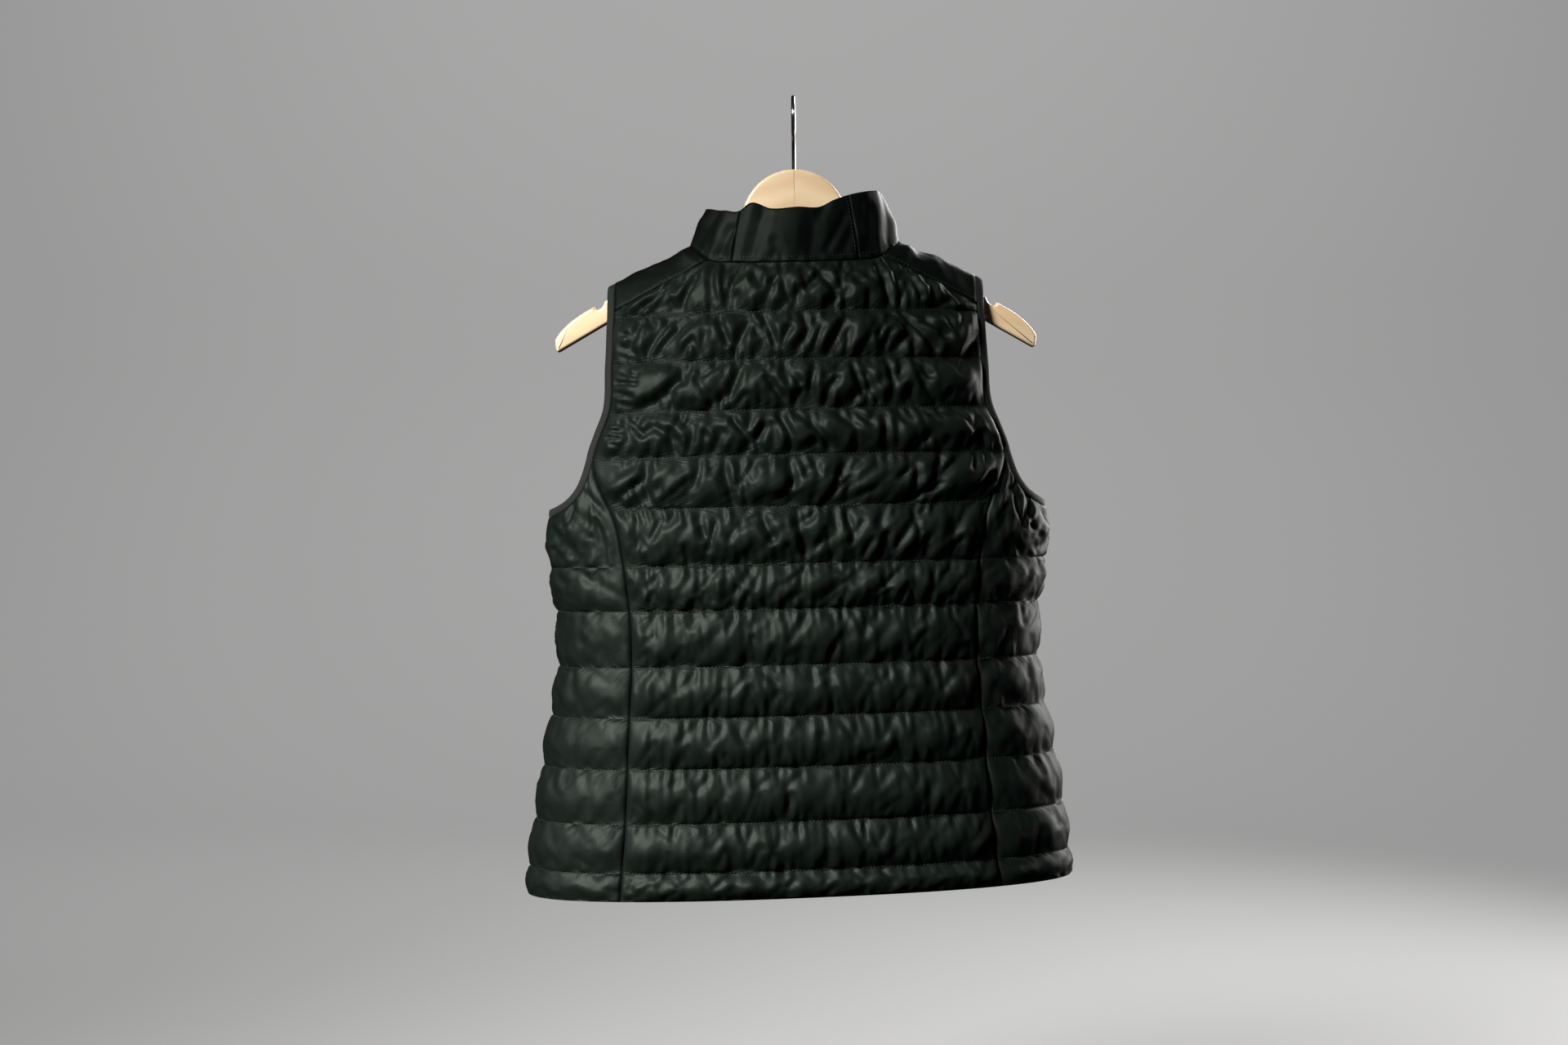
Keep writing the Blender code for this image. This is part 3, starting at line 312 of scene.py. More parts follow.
BACK_CREASES = {  # channel: ends as mm from the middle and share of the height, depth as a share, width in mm
    12: (
        (50, 0.98, 62, 0.02, 1, 6), (45, 0.95, 29, 0.45, 0.8, 7), (33, 0.97, 24, 0.7, 0.5, 4.5),
        (18, 0.97, 5, 0.2, 1, 7), (-1, 0.95, -15, 0.5, 0.8, 6), (-9, 0.95, -36, 0.35, 1, 7),
        (-28, 0.95, -58, 0.5, 0.7, 7), (-44, 0.9, -76, 0.45, 0.5, 7.5), (-72, 0.85, -86, 0.12, 1, 7),
        (-85, 0.8, -98, 0.25, 0.7, 6), (-101, 0.75, -113, 0.3, 0.8, 6), (-118, 0.8, -131, 0.1, 0.7, 7),
        (92, 0.7, 103, 0.02, 0.9, 6), (97, 0.9, 128, 0.05, 1, 7.5), (112, 0.9, 146, 0.05, 0.8, 7.5),
        (66, 0.9, 61, 0.3, 0.7, 5), (79, 0.85, 70, 0.2, 0.7, 6), (20, 0.4, 26, 0.05, 0.6, 6),
        (-40, 0.35, -46, 0.05, 0.6, 6),
    ),
    11: (
        (110, 0.95, 135, 0.1, 1, 7), (92, 0.93, 126, 0.12, 1, 8), (137, 0.85, 150, 0.3, 0.7, 6),
        (67, 0.85, 58, 0.3, 0.9, 6), (40, 0.75, 56, 0.08, 1, 7), (27, 0.95, 18, 0.3, 1, 7),
        (5, 0.6, 13, 0.25, 0.7, 5), (-18, 0.75, 2, 0.08, 0.9, 7), (-23, 0.65, -14, 0.15, 0.8, 5),
        (-41, 0.65, -27, 0.08, 0.9, 7), (-69, 0.6, -58, 0.15, 0.7, 6), (-84, 0.97, -101, 0.55, 0.8, 7),
        (-94, 0.97, -124, 0.15, 1, 7.5), (-105, 0.97, -135, 0.4, 0.8, 7), (-82, 0.5, -76, 0.08, 0.7, 6),
        (78, 0.5, 84, 0.1, 0.6, 7), (158, 0.35, 144, 0.2, 0.5, 3.5), (158, 0.15, 146, 0.05, 0.5, 3.5),
        (156, 0.6, 142, 0.5, 0.5, 3.5),
    ),
    10: (
        (46, 0.88, 56, 0.3, 1, 7), (56, 0.3, 76, 0.08, 0.9, 7), (100, 0.6, 124, 0.2, 0.8, 7.5),
        (109, 0.35, 141, 0.05, 0.9, 7.5), (85, 0.65, 77, 0.3, 0.6, 6), (23, 0.6, 12, 0.22, 0.8, 6),
        (7, 0.8, -4, 0.5, 0.8, 6), (-6, 0.35, 4, 0.05, 0.7, 6), (-17, 0.85, -10, 0.05, 1, 6),
        (-35, 0.55, -22, 0.05, 0.9, 6), (-50, 0.92, -58, 0.3, 1, 6), (-62, 0.62, -70, 0.12, 0.9, 6),
        (-106, 0.97, -118, 0.6, 0.8, 6), (-110, 0.6, -122, 0.12, 0.8, 7), (-87, 0.45, -80, 0.05, 0.7, 6),
        (-138, 0.3, -131, 0.04, 0.6, 5), (30, 0.97, 22, 0.7, 0.6, 5), (160, 0.88, 142, 0.72, 0.6, 3.5),
        (160, 0.62, 140, 0.55, 0.6, 3.5), (160, 0.4, 144, 0.3, 0.5, 3.5), (160, 0.2, 146, 0.13, 0.5, 3.5),
    ),
    9: (
        (141, 0.92, 130, 0.5, 0.9, 6), (130, 0.5, 117, 0.68, 0.7, 6), (117, 0.68, 102, 0.35, 0.8, 7),
        (82, 0.68, 94, 0.12, 1, 7), (60, 0.5, 75, 0.08, 0.8, 7), (22, 0.62, 45, 0.1, 1, 7),
        (13, 0.65, 22, 0.08, 0.8, 6), (4, 0.95, 2, 0.42, 0.9, 6), (2, 0.42, 8, 0.1, 0.7, 6),
        (-20, 0.75, -28, 0.12, 1, 7), (-31, 0.92, -25, 0.6, 0.7, 6), (-85, 0.75, -76, 0.12, 1, 7),
        (-93, 0.6, -86, 0.1, 0.6, 6), (-150, 0.32, -142, 0.04, 0.8, 4.5), (-161, 0.36, -152, 0.04, 0.8, 4.5),
        (-134, 0.26, -127, 0.03, 0.6, 4.5), (-122, 0.97, -130, 0.7, 0.7, 5), (-138, 0.97, -147, 0.75, 0.6, 5),
        (-55, 0.4, -48, 0.08, 0.5, 7), (164, 0.9, 150, 0.8, 0.6, 3.5), (164, 0.66, 148, 0.6, 0.6, 3.5),
        (164, 0.48, 150, 0.4, 0.5, 3.5), (162, 0.3, 148, 0.2, 0.5, 3.5),
    ),
    8: (
        (154, 0.85, 137, 0.08, 1, 7.5), (105, 0.97, 102, 0.45, 0.9, 6), (102, 0.4, 113, 0.08, 0.8, 7),
        (84, 0.78, 60, 0.08, 1, 7.5), (74, 0.95, 60, 0.5, 0.8, 6), (60, 0.95, 54, 0.55, 0.7, 5),
        (27, 0.85, 15, 0.35, 1, 7), (8, 0.97, -2, 0.6, 0.8, 6), (-20, 0.95, -22, 0.35, 0.9, 6),
        (-30, 0.55, -18, 0.05, 0.9, 6), (-30, 0.55, -38, 0.08, 0.8, 6), (-85, 0.75, -93, 0.3, 0.9, 6),
        (-76, 0.6, -84, 0.82, 0.5, 6), (-150, 0.34, -141, 0.04, 0.8, 4.5), (-164, 0.42, -154, 0.04, 0.8, 4.5),
        (-172, 0.28, -165, 0.04, 0.7, 4.5), (38, 0.3, 30, 0.05, 0.5, 6),
    ),
    7: (
        (155, 0.95, 144, 0.35, 0.8, 7), (128, 0.95, 133, 0.5, 0.7, 6), (99, 0.95, 88, 0.5, 0.8, 6),
        (80, 0.7, 83, 0.28, 0.7, 5), (56, 0.95, 66, 0.48, 0.7, 6), (47, 0.97, 29, 0.45, 1, 7),
        (14, 0.97, -3, 0.12, 1, 7), (-3, 0.12, -11, 0.3, 0.6, 5), (14, 0.32, 6, 0.08, 0.6, 5),
        (-28, 0.95, -41, 0.5, 0.9, 6), (-46, 0.68, -40, 0.35, 0.6, 5), (-58, 0.38, -50, 0.06, 0.8, 5),
        (-98, 0.85, -76, 0.18, 0.8, 7.5), (-101, 0.5, -91, 0.08, 0.6, 6), (-158, 0.32, -148, 0.04, 0.8, 4.5),
        (110, 0.3, 118, 0.05, 0.5, 6),
    ),
}


def column(table, which, at):
    """One column of a table read at the given values of its first, as a smooth curve."""
    knots = np.array([row[0] for row in table])
    values = np.array([row[which] for row in table])
    slopes = np.gradient(values, knots)
    here = np.clip(np.searchsorted(knots, at) - 1, 0, len(knots) - 2)
    span = knots[here + 1] - knots[here]
    t = (at - knots[here]) / span
    start = (1 + 2 * t) * (1 - t) ** 2 * values[here] + t * (1 - t) ** 2 * span * slopes[here]
    return start + t * t * (3 - 2 * t) * values[here + 1] + t * t * (t - 1) * span * slopes[here + 1]


def ridge(x):
    """Height of the shoulder line."""
    return RIDGE_TOP - RIDGE_SLOPE * np.sqrt(x * x + RIDGE_ROUND**2)


def reach(x, z):
    """How far before and behind the middle a ring reaches, held in near the shoulders."""
    drop = np.maximum(ridge(x) - z, 1e-5)
    return ((TENT * drop**TENT_POWER) ** -BLEND + column(FORM, 2, z) ** -BLEND) ** (-1 / BLEND)


def depth(x, z):
    """Distance of the hanging form from the plane of the hanger."""
    inside = np.clip(1 - np.abs(x / column(FORM, 1, z)) ** SQUARE, 0, 1)
    return reach(x, z) * inside ** (1 / SQUARE)


def outward(x, y, z):
    """Unit normals of the hanging form."""

    def level(x, y, z):
        return np.abs(x / column(FORM, 1, z)) ** SQUARE + np.abs(y / reach(x, z)) ** SQUARE

    step = 1e-5
    slope = [
        level(x + step, y, z) - level(x - step, y, z),
        level(x, y + step, z) - level(x, y - step, z),
        level(x, y, z + step) - level(x, y, z - step),
    ]
    normal = np.stack(slope, axis=-1)
    return normal / np.linalg.norm(normal, axis=-1, keepdims=True)


def hung(points):
    """Turns and drops the cloth as it hangs on the leaning hanger."""
    x, y, z = np.moveaxis(points, -1, 0)
    turn = TWIST * np.clip((TWIST_TOP - z) / (TWIST_TOP - HEM), 0, None)
    turned_x = x * np.cos(turn) - y * np.sin(turn)
    turned_y = x * np.sin(turn) + y * np.cos(turn)
    return leant(np.stack([turned_x, turned_y, z - HEM_SLOPE * turned_x], axis=-1))


def top_edge(x, neck):
    """Height of the neck seam and, past the neck, of the yoke seam."""
    dip = np.sqrt(np.clip(1 - (x / NECK) ** 2, 0, 1))
    seam = NECK_CORNER - YOKE_SLOPE * np.maximum(np.abs(x) - NECK, 0)
    return np.where(np.abs(x) < NECK, NECK_CORNER - (NECK_CORNER - neck) * dip, seam)


def row_height(row, x, neck):
    """Height of a row at a distance from the middle: level stitch lines, then up to the top edge."""
    last = len(LEVELS) - 1
    level = np.interp(row, range(len(LEVELS)), LEVELS)
    top = top_edge(x, neck) - GAP / 2
    return np.where(row > last, LEVELS[last] + (top - LEVELS[last]) * (row - last), level)


def panel_edge(z):
    return column(PANEL_EDGE, 1, z)


def edge_height(row):
    return row_height(row, np.full(np.shape(row), YOKE_END), BACK_NECK)


def stand_off(x, y, z, lift):
    """Points that stand off the hanging form."""
    return np.stack([x, y, z], axis=-1) + outward(x, y, z) * lift[..., None]


def flat_grid(rows, columns):
    """A flat grid of faces to be shaped."""
    flat = bmesh.new()
    bmesh.ops.create_grid(flat, x_segments=columns - 1, y_segments=rows - 1, size=0.5)
    return flat


def rows_and_columns(flat, rows, columns):
    """Row and column of each corner of a flat grid."""
    at = (np.array([corner.co for corner in flat.verts])[:, :2] + 0.5) * (columns - 1, rows - 1)
    column, row = np.rint(at).astype(int).T
    return row, column


def uneven(shape, cells, strength):
    """Smooth seeded unevenness over a grid, with this many cells down and across."""
    knots = random.normal(size=(cells[0] + 2, cells[1] + 2))
    down, across = np.linspace(0, cells[0], shape[0]), np.linspace(0, cells[1], shape[1])
    i, j = down.astype(int), across.astype(int)
    t, s = (down - i)[:, None], (across - j)[None, :]
    t, s = t * t * (3 - 2 * t), s * s * (3 - 2 * s)
    low = knots[np.ix_(i, j)] * (1 - s) + knots[np.ix_(i, j + 1)] * s
    high = knots[np.ix_(i + 1, j)] * (1 - s) + knots[np.ix_(i + 1, j + 1)] * s
    return (low * (1 - t) + high * t) * strength


def lengths(points):
    """Distance along the rows and up the columns of a grid of points."""
    zero = np.zeros_like(points[..., 0])
    along, up = zero.copy(), zero.copy()
    along[:, 1:] = np.cumsum(np.linalg.norm(np.diff(points, axis=1), axis=-1), axis=1)
    up[1:] = np.cumsum(np.linalg.norm(np.diff(points, axis=0), axis=-1), axis=0)
    return along, up


def swell(points, inside, sewn, slack):
    """Cloth that is longer than its seams by the slack is blown out between them by a pressure."""
    flat = flat_grid(*points.shape[:2])
    at = rows_and_columns(flat, *points.shape[:2])
    for corner, place in zip(flat.verts, points[at]):
        corner.co = place
    flat.normal_update()
    flat.faces.ensure_lookup_table()
    middle = flat.faces[len(flat.faces) // 2]
    out = points[at] - inside[at]
    if middle.normal.dot(Vector(out[middle.verts[0].index])) < 0:
        bmesh.ops.reverse_faces(flat, faces=flat.faces[:])
    mesh = bpy.data.meshes.new("swelling")
    flat.to_mesh(mesh)
    flat.free()
    obj = bpy.data.objects.new("swelling", mesh)
    bpy.context.scene.collection.objects.link(obj)
    pins = obj.vertex_groups.new(name="sewn")
    pins.add(np.flatnonzero(sewn[at]).tolist(), 1.0, "REPLACE")
    loose = obj.vertex_groups.new(name="slack")
    most = slack.max()
    for step in range(SLACK_STEPS + 1):
        chosen = np.flatnonzero(np.rint(slack[at] / most * SLACK_STEPS) == step)
        loose.add(chosen.tolist(), step / SLACK_STEPS, "REPLACE")
    cloth = obj.modifiers.new("Cloth", "CLOTH")
    settings = cloth.settings
    settings.quality = 5
    settings.bending_stiffness = 0.005
    settings.vertex_group_mass = "sewn"
    settings.use_pressure = True
    settings.uniform_pressure_force = SWELL_PRESSURE
    settings.vertex_group_shrink = "slack"
    settings.shrink_min, settings.shrink_max = 0.0, -most
    settings.effector_weights.gravity = 0.004
    cloth.collision_settings.use_collision = False
    cloth.point_cache.frame_start, cloth.point_cache.frame_end = 1, SWELL_FRAMES
    for moment in range(1, SWELL_FRAMES + 1):
        bpy.context.scene.frame_set(moment)
    done = obj.evaluated_get(bpy.context.evaluated_depsgraph_get())
    places = np.zeros(3 * len(mesh.vertices))
    done.data.vertices.foreach_get("co", places)
    bpy.context.scene.frame_set(1)
    bpy.data.objects.remove(obj, do_unlink=True)
    swollen = points.copy()
    swollen[at] = places.reshape(-1, 3)
    return swollen


def wall(outer, inner, seams, gather):
    """A closed wall of two grids of points, with its weave's UV map, its seams kept sharp."""
    shape = flat_grid(*outer.shape[:2])
    along, up = lengths(outer)
    count = len(shape.verts)
    bmesh.ops.extrude_face_region(shape, geom=shape.faces[:], use_keep_orig=True)
    shape.verts.ensure_lookup_table()
    at = rows_and_columns(shape, *outer.shape[:2])
    near = shape.verts.layers.float.new("gather")
    front = np.arange(len(shape.verts)) < count
    places = np.where(front[:, None], outer[at], inner[at])
    for corner, place, amount in zip(shape.verts, places, gather[at]):
        corner.co = place
        corner[near] = amount
    cloth_map = shape.loops.layers.uv.new("UVMap")
    on_cloth = np.stack([along[at], up[at]], axis=-1)
    for face in shape.faces:
        for loop in face.loops:
            loop[cloth_map].uv = on_cloth[loop.vert.index]
    row = at[0]
    for edge in shape.edges:
        a, b = (corner.index for corner in edge.verts)
        if (row[a] == row[b] and row[a] in seams) or front[a] != front[b]:
            edge.smooth = False
    bmesh.ops.recalc_face_normals(shape, faces=shape.faces[:])
    return shape


def thread(shape, line, normals, start=0.0):
    """Stitches along a seam: short bars of thread that lie on the cloth."""
    steps = np.concatenate([[0], np.cumsum(np.linalg.norm(np.diff(line, axis=0), axis=1))])

    def read(values, at):
        return np.array([np.interp(at, steps, values[:, axis]) for axis in range(3)])

    for at in np.arange(start + THREAD_PITCH, steps[-1] - THREAD_PITCH / 2, THREAD_PITCH):
        ends, normal = (read(line, at - 1e-4), read(line, at + 1e-4)), read(normals, at)
        way = Vector(ends[1] - ends[0]).normalized()
        turned = way.to_track_quat("X", "Z").to_matrix().to_4x4()
        middle = Matrix.Translation(Vector((ends[0] + ends[1]) / 2 + normal * THREAD_RADIUS))
        size = Matrix.Diagonal((THREAD_LENGTH / 2, THREAD_RADIUS, THREAD_RADIUS, 1))
        bmesh.ops.create_icosphere(shape, subdivisions=1, radius=1.0, matrix=middle @ turned @ size)


def nylon(name, colours, crinkle, gloss):
    """Satin nylon: a close weave, uneven gloss, and small crinkles that gather beside the seams."""
    sheer = {"Specular IOR Level": gloss, "Specular Tint": (0.88, 1.0, 0.90, 1)}
    material, tree, shader = finish(name, sheer)
    cloth = add(tree, "UVMap").outputs[0]
    shade = add(tree, "TexNoise", {"Vector": cloth, "Scale": 18.0, "Detail": 3.0})
    tree.links.new(blend_colours(tree, shade.outputs[0], colours), shader.inputs["Base Color"])
    rubbed = add(tree, "TexNoise", {"Vector": cloth, "Scale": 55.0, "Detail": 4.0})
    satin = add(tree, "MapRange", {"Value": rubbed.outputs[0], "To Min": 0.48, "To Max": 0.58})
    tree.links.new(satin.outputs[0], shader.inputs["Roughness"])
    stretched = add(tree, "Mapping", {"Vector": cloth, "Scale": (1.0, 0.3, 1.0)})
    tucks = add(tree, "TexNoise", {"Vector": stretched.outputs[0], "Scale": 170.0, "Detail": 1.5})
    near = add(tree, "Attribute", attribute_name="gather")
    drawn = add(tree, "Math", {0: tucks.outputs[0], 1: near.outputs["Fac"]}, operation="MULTIPLY")
    fine = add(tree, "TexNoise", {"Vector": cloth, "Scale": 110.0, "Detail": 3.0, "Distortion": 0.6})
    normal = add(tree, "Bump", {"Strength": 1.0, "Distance": crinkle, "Height": fine.outputs[0]}).outputs[0]
    tucked = {"Strength": 1.0, "Distance": 0.0011, "Height": drawn.outputs[0], "Normal": normal}
    normal = add(tree, "Bump", tucked).outputs[0]
    warp = add(tree, "TexWave", {"Vector": cloth, "Scale": 900.0}, bands_direction="X")
    weft = add(tree, "TexWave", {"Vector": cloth, "Scale": 900.0}, bands_direction="Y")
    weave = add(tree, "Math", {0: warp.outputs["Fac"], 1: weft.outputs["Fac"]}, operation="MULTIPLY")
    woven = {"Strength": 0.12, "Distance": 0.0001, "Height": weave.outputs[0], "Normal": normal}
    tree.links.new(add(tree, "Bump", woven).outputs[0], shader.inputs["Normal"])
    return material


shell = nylon("quilted_nylon", SHELL, 0.00022, 0.12)
sewing, tree, shader = finish("sewing_thread", {"Roughness": 0.6, "Base Color": (0.014, 0.018, 0.016, 1)})
place = add(tree, "TexCoord").outputs["Object"]
ply = add(tree, "TexNoise", {"Vector": place, "Scale": 2500.0, "Detail": 1.0})
bumped(tree, shader, 0.4, 0.0001, ply.outputs[0])


def creasing(row, least):
    """How strongly the cloth is creased at a row: from a least share low down to 1 further up."""
    up = np.clip((row - SMOOTH_CHANNELS) / (ROUGH_CHANNELS - SMOOTH_CHANNELS), 0, 1)
    return least + (1 - least) * up


def crease_ends(low, reach_s, middle, placed):
    """Creases of one channel: ends (s, share of the channel's height), depth and width.

    The placed ones come first. A channel without them has a seeded zigzag right across, and every
    channel has small tents beside its seams."""
    strong = creasing(low, 0.3)
    for s0, share0, s1, share1, amount, width in placed:
        yield middle + s0 / 1000, share0, middle + s1 / 1000, share1, amount, width / 1000
    s, down = random.uniform(0, 0.02), random.random() < 0.5
    while s < reach_s and not placed:
        # leans further on the way down than on the way back, so most creases slant one way
        step = random.uniform(0.016, 0.042) if down else random.uniform(0.002, 0.012)
        ends = [random.uniform(0.02, 0.22), random.uniform(0.68, 0.96)]
        if down:
            ends.reverse()
        if random.random() < 0.85:
            lift = strong * random.uniform(0.6, 1.0)
            yield s, ends[0], s + step, ends[1], lift, random.uniform(0.008, 0.014)
        s += step + random.uniform(0.0, 0.010)
        down = not down
    for foot, way in ((0.0, 1), (1.0, -1)):
        s = random.uniform(0, 0.03)
        while s < reach_s:
            spread, tip = random.uniform(0.005, 0.014), foot + way * random.uniform(0.25, 0.6)
            apex = s + spread - way * random.uniform(-0.004, 0.014)
            for leg in (s, s + 2 * spread):
                amount = (0.5 + 0.5 * strong) * random.uniform(0.5, 1.0)
                yield leg, foot, apex, tip, amount, random.uniform(0.005, 0.008)
            s += random.uniform(0.016, 0.048) * (1.5 if placed else 1.0)


def creased(s, t, line):
    """How near points are to a crease: its depth on the line from (s0, t0) to (s1, t1), 0 a width away."""
    s0, t0, s1, t1, amount, width = line
    share = np.clip(((s - s0) * (s1 - s0) + (t - t0) * (t1 - t0)) / ((s1 - s0) ** 2 + (t1 - t0) ** 2), 0, 1)
    off = np.hypot(s - s0 - share * (s1 - s0), t - t0 - share * (t1 - t0))
    return amount * np.clip(1 - off / width, 0, 1)


def drawn_in(along, up, rows, creases):
    """Height of cloth drawn in along its creases: 0 on a crease, 1 where it stands clear of all."""
    height = np.ones_like(along)
    for low in range(int(rows[-1])):
        first, last = np.searchsorted(rows, [low, low + 1])
        s, t, part = (values[first:last + 1] for values in (along, up, height))
        line = s[0]
        ends = crease_ends(low, line[-1], line[len(line) // 2], creases.get(low, ()))
        for s0, share0, s1, share1, *form in ends:
            at, share = np.searchsorted(line, [s0, s1]).clip(0, len(line) - 1), np.array([share0, share1])
            t0, t1 = (1 - share) * t[0, at] + share * t[-1, at]
            np.minimum(part, 1 - creased(s, t, (s0, t0, s1, t1, *form)), out=part)
    return height


def crumpled(along, up, cell, slant):
    """Heights from -1 to 1 over flat facets of about this width and height, leaning by the slant."""
    leaning = (along + slant * up) / cell[0], up / cell[1]
    across, rise = (values + uneven(along.shape, (12, 14), 0.3) for values in leaning)
    across, rise = across - across.min(), rise - rise.min()
    heights = random.uniform(-1, 1, (int(rise.max()) + 2, int(across.max()) + 2))
    i, j = rise.astype(int), across.astype(int)
    t, s = rise - i, across - j
    near, far = heights[i, j], heights[i + 1, j + 1]
    over, under = heights[i, j + 1], heights[i + 1, j]
    below = near + s * (over - near) + t * (under - near)
    return np.where(s + t < 1, below, far + (1 - s) * (under - far) + (1 - t) * (over - far))


def quilt(name, node, columns, rows, place, fill, slack, creases={}, crumple=1.0):
    """A quilted panel on a form place(u, v, lift), with the shares of its padding and spare cloth."""
    u, v = np.meshgrid(columns, rows)
    sewn_row = np.isclose(v, np.rint(v))
    sewn = sewn_row | (np.arange(len(columns)) % (len(columns) - 1) == 0)[None, :]
    lumps = ((10, 4, 0.00085), (6, 2, 0.0004))  # rows and columns to a lump, height
    cells = lambda down, over: (len(rows) // down, len(columns) // over)
    small = sum(uneven(u.shape, cells(down, over), high) for down, over, high in lumps)
    base = place(u, v, 0 * u)
    along, up = lengths(base)
    first = np.searchsorted(rows, np.minimum(np.floor(rows), rows[-1] - 1))
    tall = up[np.searchsorted(rows, rows[first] + 1)] - up[first]
    narrow = np.clip(tall / LOW_CHANNEL, 0, 1)
    padding = fill(u, v) * narrow
    inner = place(u, v, -SEAM_WALL - INNER_CROWN * padding)

    strong = creasing(v, 0.2)
    folds = drawn_in(along, up, rows, creases) - BETWEEN
    beside = np.exp(-np.minimum(v % 1.0, 1 - v % 1.0) / TUCK_REACH)
    folds += beside * uneven(u.shape, cells(10, 2), TUCK)
    facets = sum(share * crumpled(along, up, cell, slant) for share, cell, slant in FACETS)
    folds += crumple * strong * facets
    start = place(u, v, np.maximum((CROWN + small + CREASE * folds * strong) * padding, 0))
    # every other row swells, and those between go along with their neighbours
    spare = slack(u, v) * narrow
    moved = np.zeros_like(start)
    moved[::2] = swell(start[::2], inner[::2], sewn[::2], spare[::2]) - start[::2]
    moved[1::2] = (moved[:-1:2] + moved[2::2]) / 2
    normal = place(u, v, 0 * u + 0.001) - base
    normal /= np.linalg.norm(normal, axis=-1, keepdims=True)
    swollen = start + moved
    lift = np.sum((swollen - base) * normal, axis=-1)
    folded = lift + FACET * folds * np.sqrt(padding)
    # what would stand too far out or in is held back
    free = 0.7 * MOST_LIFT
    high = np.maximum(folded - free, 0)
    held = np.where(high > 0, free + high / (1 + high / (MOST_LIFT - free)), np.maximum(folded, LEAST_LIFT))
    outer = swollen + normal * (held - lift)[..., None]
    outer[sewn] = base[sewn]

    seams = np.flatnonzero(sewn_row[:, 0])
    apart = np.abs(np.arange(len(rows))[:, None] - seams).min(axis=1) / CHANNEL_ROWS
    gather = np.repeat(np.exp(-apart / 0.16)[:, None], len(columns), axis=1)
    obj = piece(name, wall(outer, inner, set(seams), gather), shell, [node])
    stitches = bmesh.new()
    for at in seams[1:-1]:
        thread(stitches, base[at], normal[at], start=random.uniform(0, THREAD_PITCH))
    piece(f"{name}_stitching", stitches, sewing)


def channel_fill(u, v):
    """1 in the middle of a channel, 0 on its stitch lines and at the ends of the piece."""
    return np.sin(np.pi * (v % 1.0)) * np.clip((1 - np.abs(u)) / 0.12, 0, 1) ** 0.5


def panel_slack(u, v):
    """Spare cloth of the back and fronts: more in the upper channels, none at the very edges."""
    return (0.008 + 0.0055 * v) * np.clip((1.02 - np.abs(u)) / 0.1, 0, 1)


def back_panel(u, v, lift):
    x = u * (panel_edge(edge_height(v)) - GAP / 2)
    z = row_height(v, x, BACK_NECK)
    return hung(stand_off(x, depth(x, z), z, lift))


def evenly(low, high, length, step):
    """Numbers from low to high for points this step apart over a length."""
    return np.linspace(low, high, int(length / step) + 1)


PANEL_ROWS = evenly(0, len(LEVELS), len(LEVELS) * CHANNEL_ROWS, 1)
back_columns = evenly(-1, 1, 2 * YOKE_END, COLUMN_STEP)
quilt("back_quilting", "back_panel", back_columns, PANEL_ROWS, back_panel, channel_fill, panel_slack,
      BACK_CREASES, 0.5)

# ---- side panels ----
# Quilted panels that wrap round each side from princess seam to princess seam. Their lower
# channels carry on those of the back; above, one plain channel runs up to the armhole's foot.
SIDE_LEVELS = 8
SIDE_TOP, UNDERARM, UNDERARM_ROUND = -0.325, -0.375, 2 / 3
SIDE_WIDTH = 0.150
TOP_CHANNEL_ROWS = 44


def armhole_foot(u):
    """The curved top edge of the side panel: share of the way round, and height."""
    turn = np.pi / 2 * np.clip(np.abs(u), 0, 1)
    share = np.sign(u) * np.sin(turn) ** UNDERARM_ROUND
    return share, SIDE_TOP + (UNDERARM - SIDE_TOP) * np.clip(np.cos(turn), 0, 1) ** UNDERARM_ROUND


def side_point(u, v, inset=0.0):
    """Point of the side panel's form: u from the front seam -1 to the back seam 1."""
    last = SIDE_LEVELS - 1
    bottom = LEVELS[last]
    share, foot = armhole_foot(u)
    end = np.interp(np.where(v > last, last + (v - last) * 2, v), range(len(LEVELS)), LEVELS)
    up = np.clip((end - bottom) / (SIDE_TOP - bottom), 0, 1)
    z = np.where(up > 0, bottom + (foot - bottom) * up, end)
    seam_x = panel_edge(end)
    seam_angle = np.arctan2(depth(seam_x, end), seam_x)
    angle = (u + (share - u) * up) * seam_angle * (1 - inset * (np.abs(u) == 1))
    x = np.cos(angle) * column(FORM, 1, z)
    for _ in range(6):
        along = np.abs(np.cos(angle) / column(FORM, 1, z)) ** SQUARE
        across = np.abs(np.sin(angle) / reach(x, z)) ** SQUARE
        radius = (along + across) ** (-1 / SQUARE)
        x = radius * np.cos(angle)
    return x, radius * np.sin(angle), z


def mirrored(points, side):
    """Points of a piece made for the wearer's left, on either side, as it hangs."""
    return hung(points * (side, 1, 1))


side_columns = evenly(-1, 1, SIDE_WIDTH, COLUMN_STEP)
low_rows = evenly(0, SIDE_LEVELS - 1, (SIDE_LEVELS - 1) * CHANNEL_ROWS, 1)
side_rows = np.concatenate([low_rows, evenly(SIDE_LEVELS - 1, SIDE_LEVELS, TOP_CHANNEL_ROWS, 1)[1:]])
for side, hand in ((1, "left"), (-1, "right")):

    def side_panel(u, v, lift, side=side):
        x, y, z = side_point(u, v, GAP / SIDE_WIDTH)
        return mirrored(stand_off(x, y, z, lift), side)

    quilt(f"side_quilting_{hand}", f"side_panel_{hand}", side_columns, side_rows, side_panel,
          lambda u, v: 0.5 * channel_fill(u, v),
          lambda u, v: 0.018 + 0.003 * v)

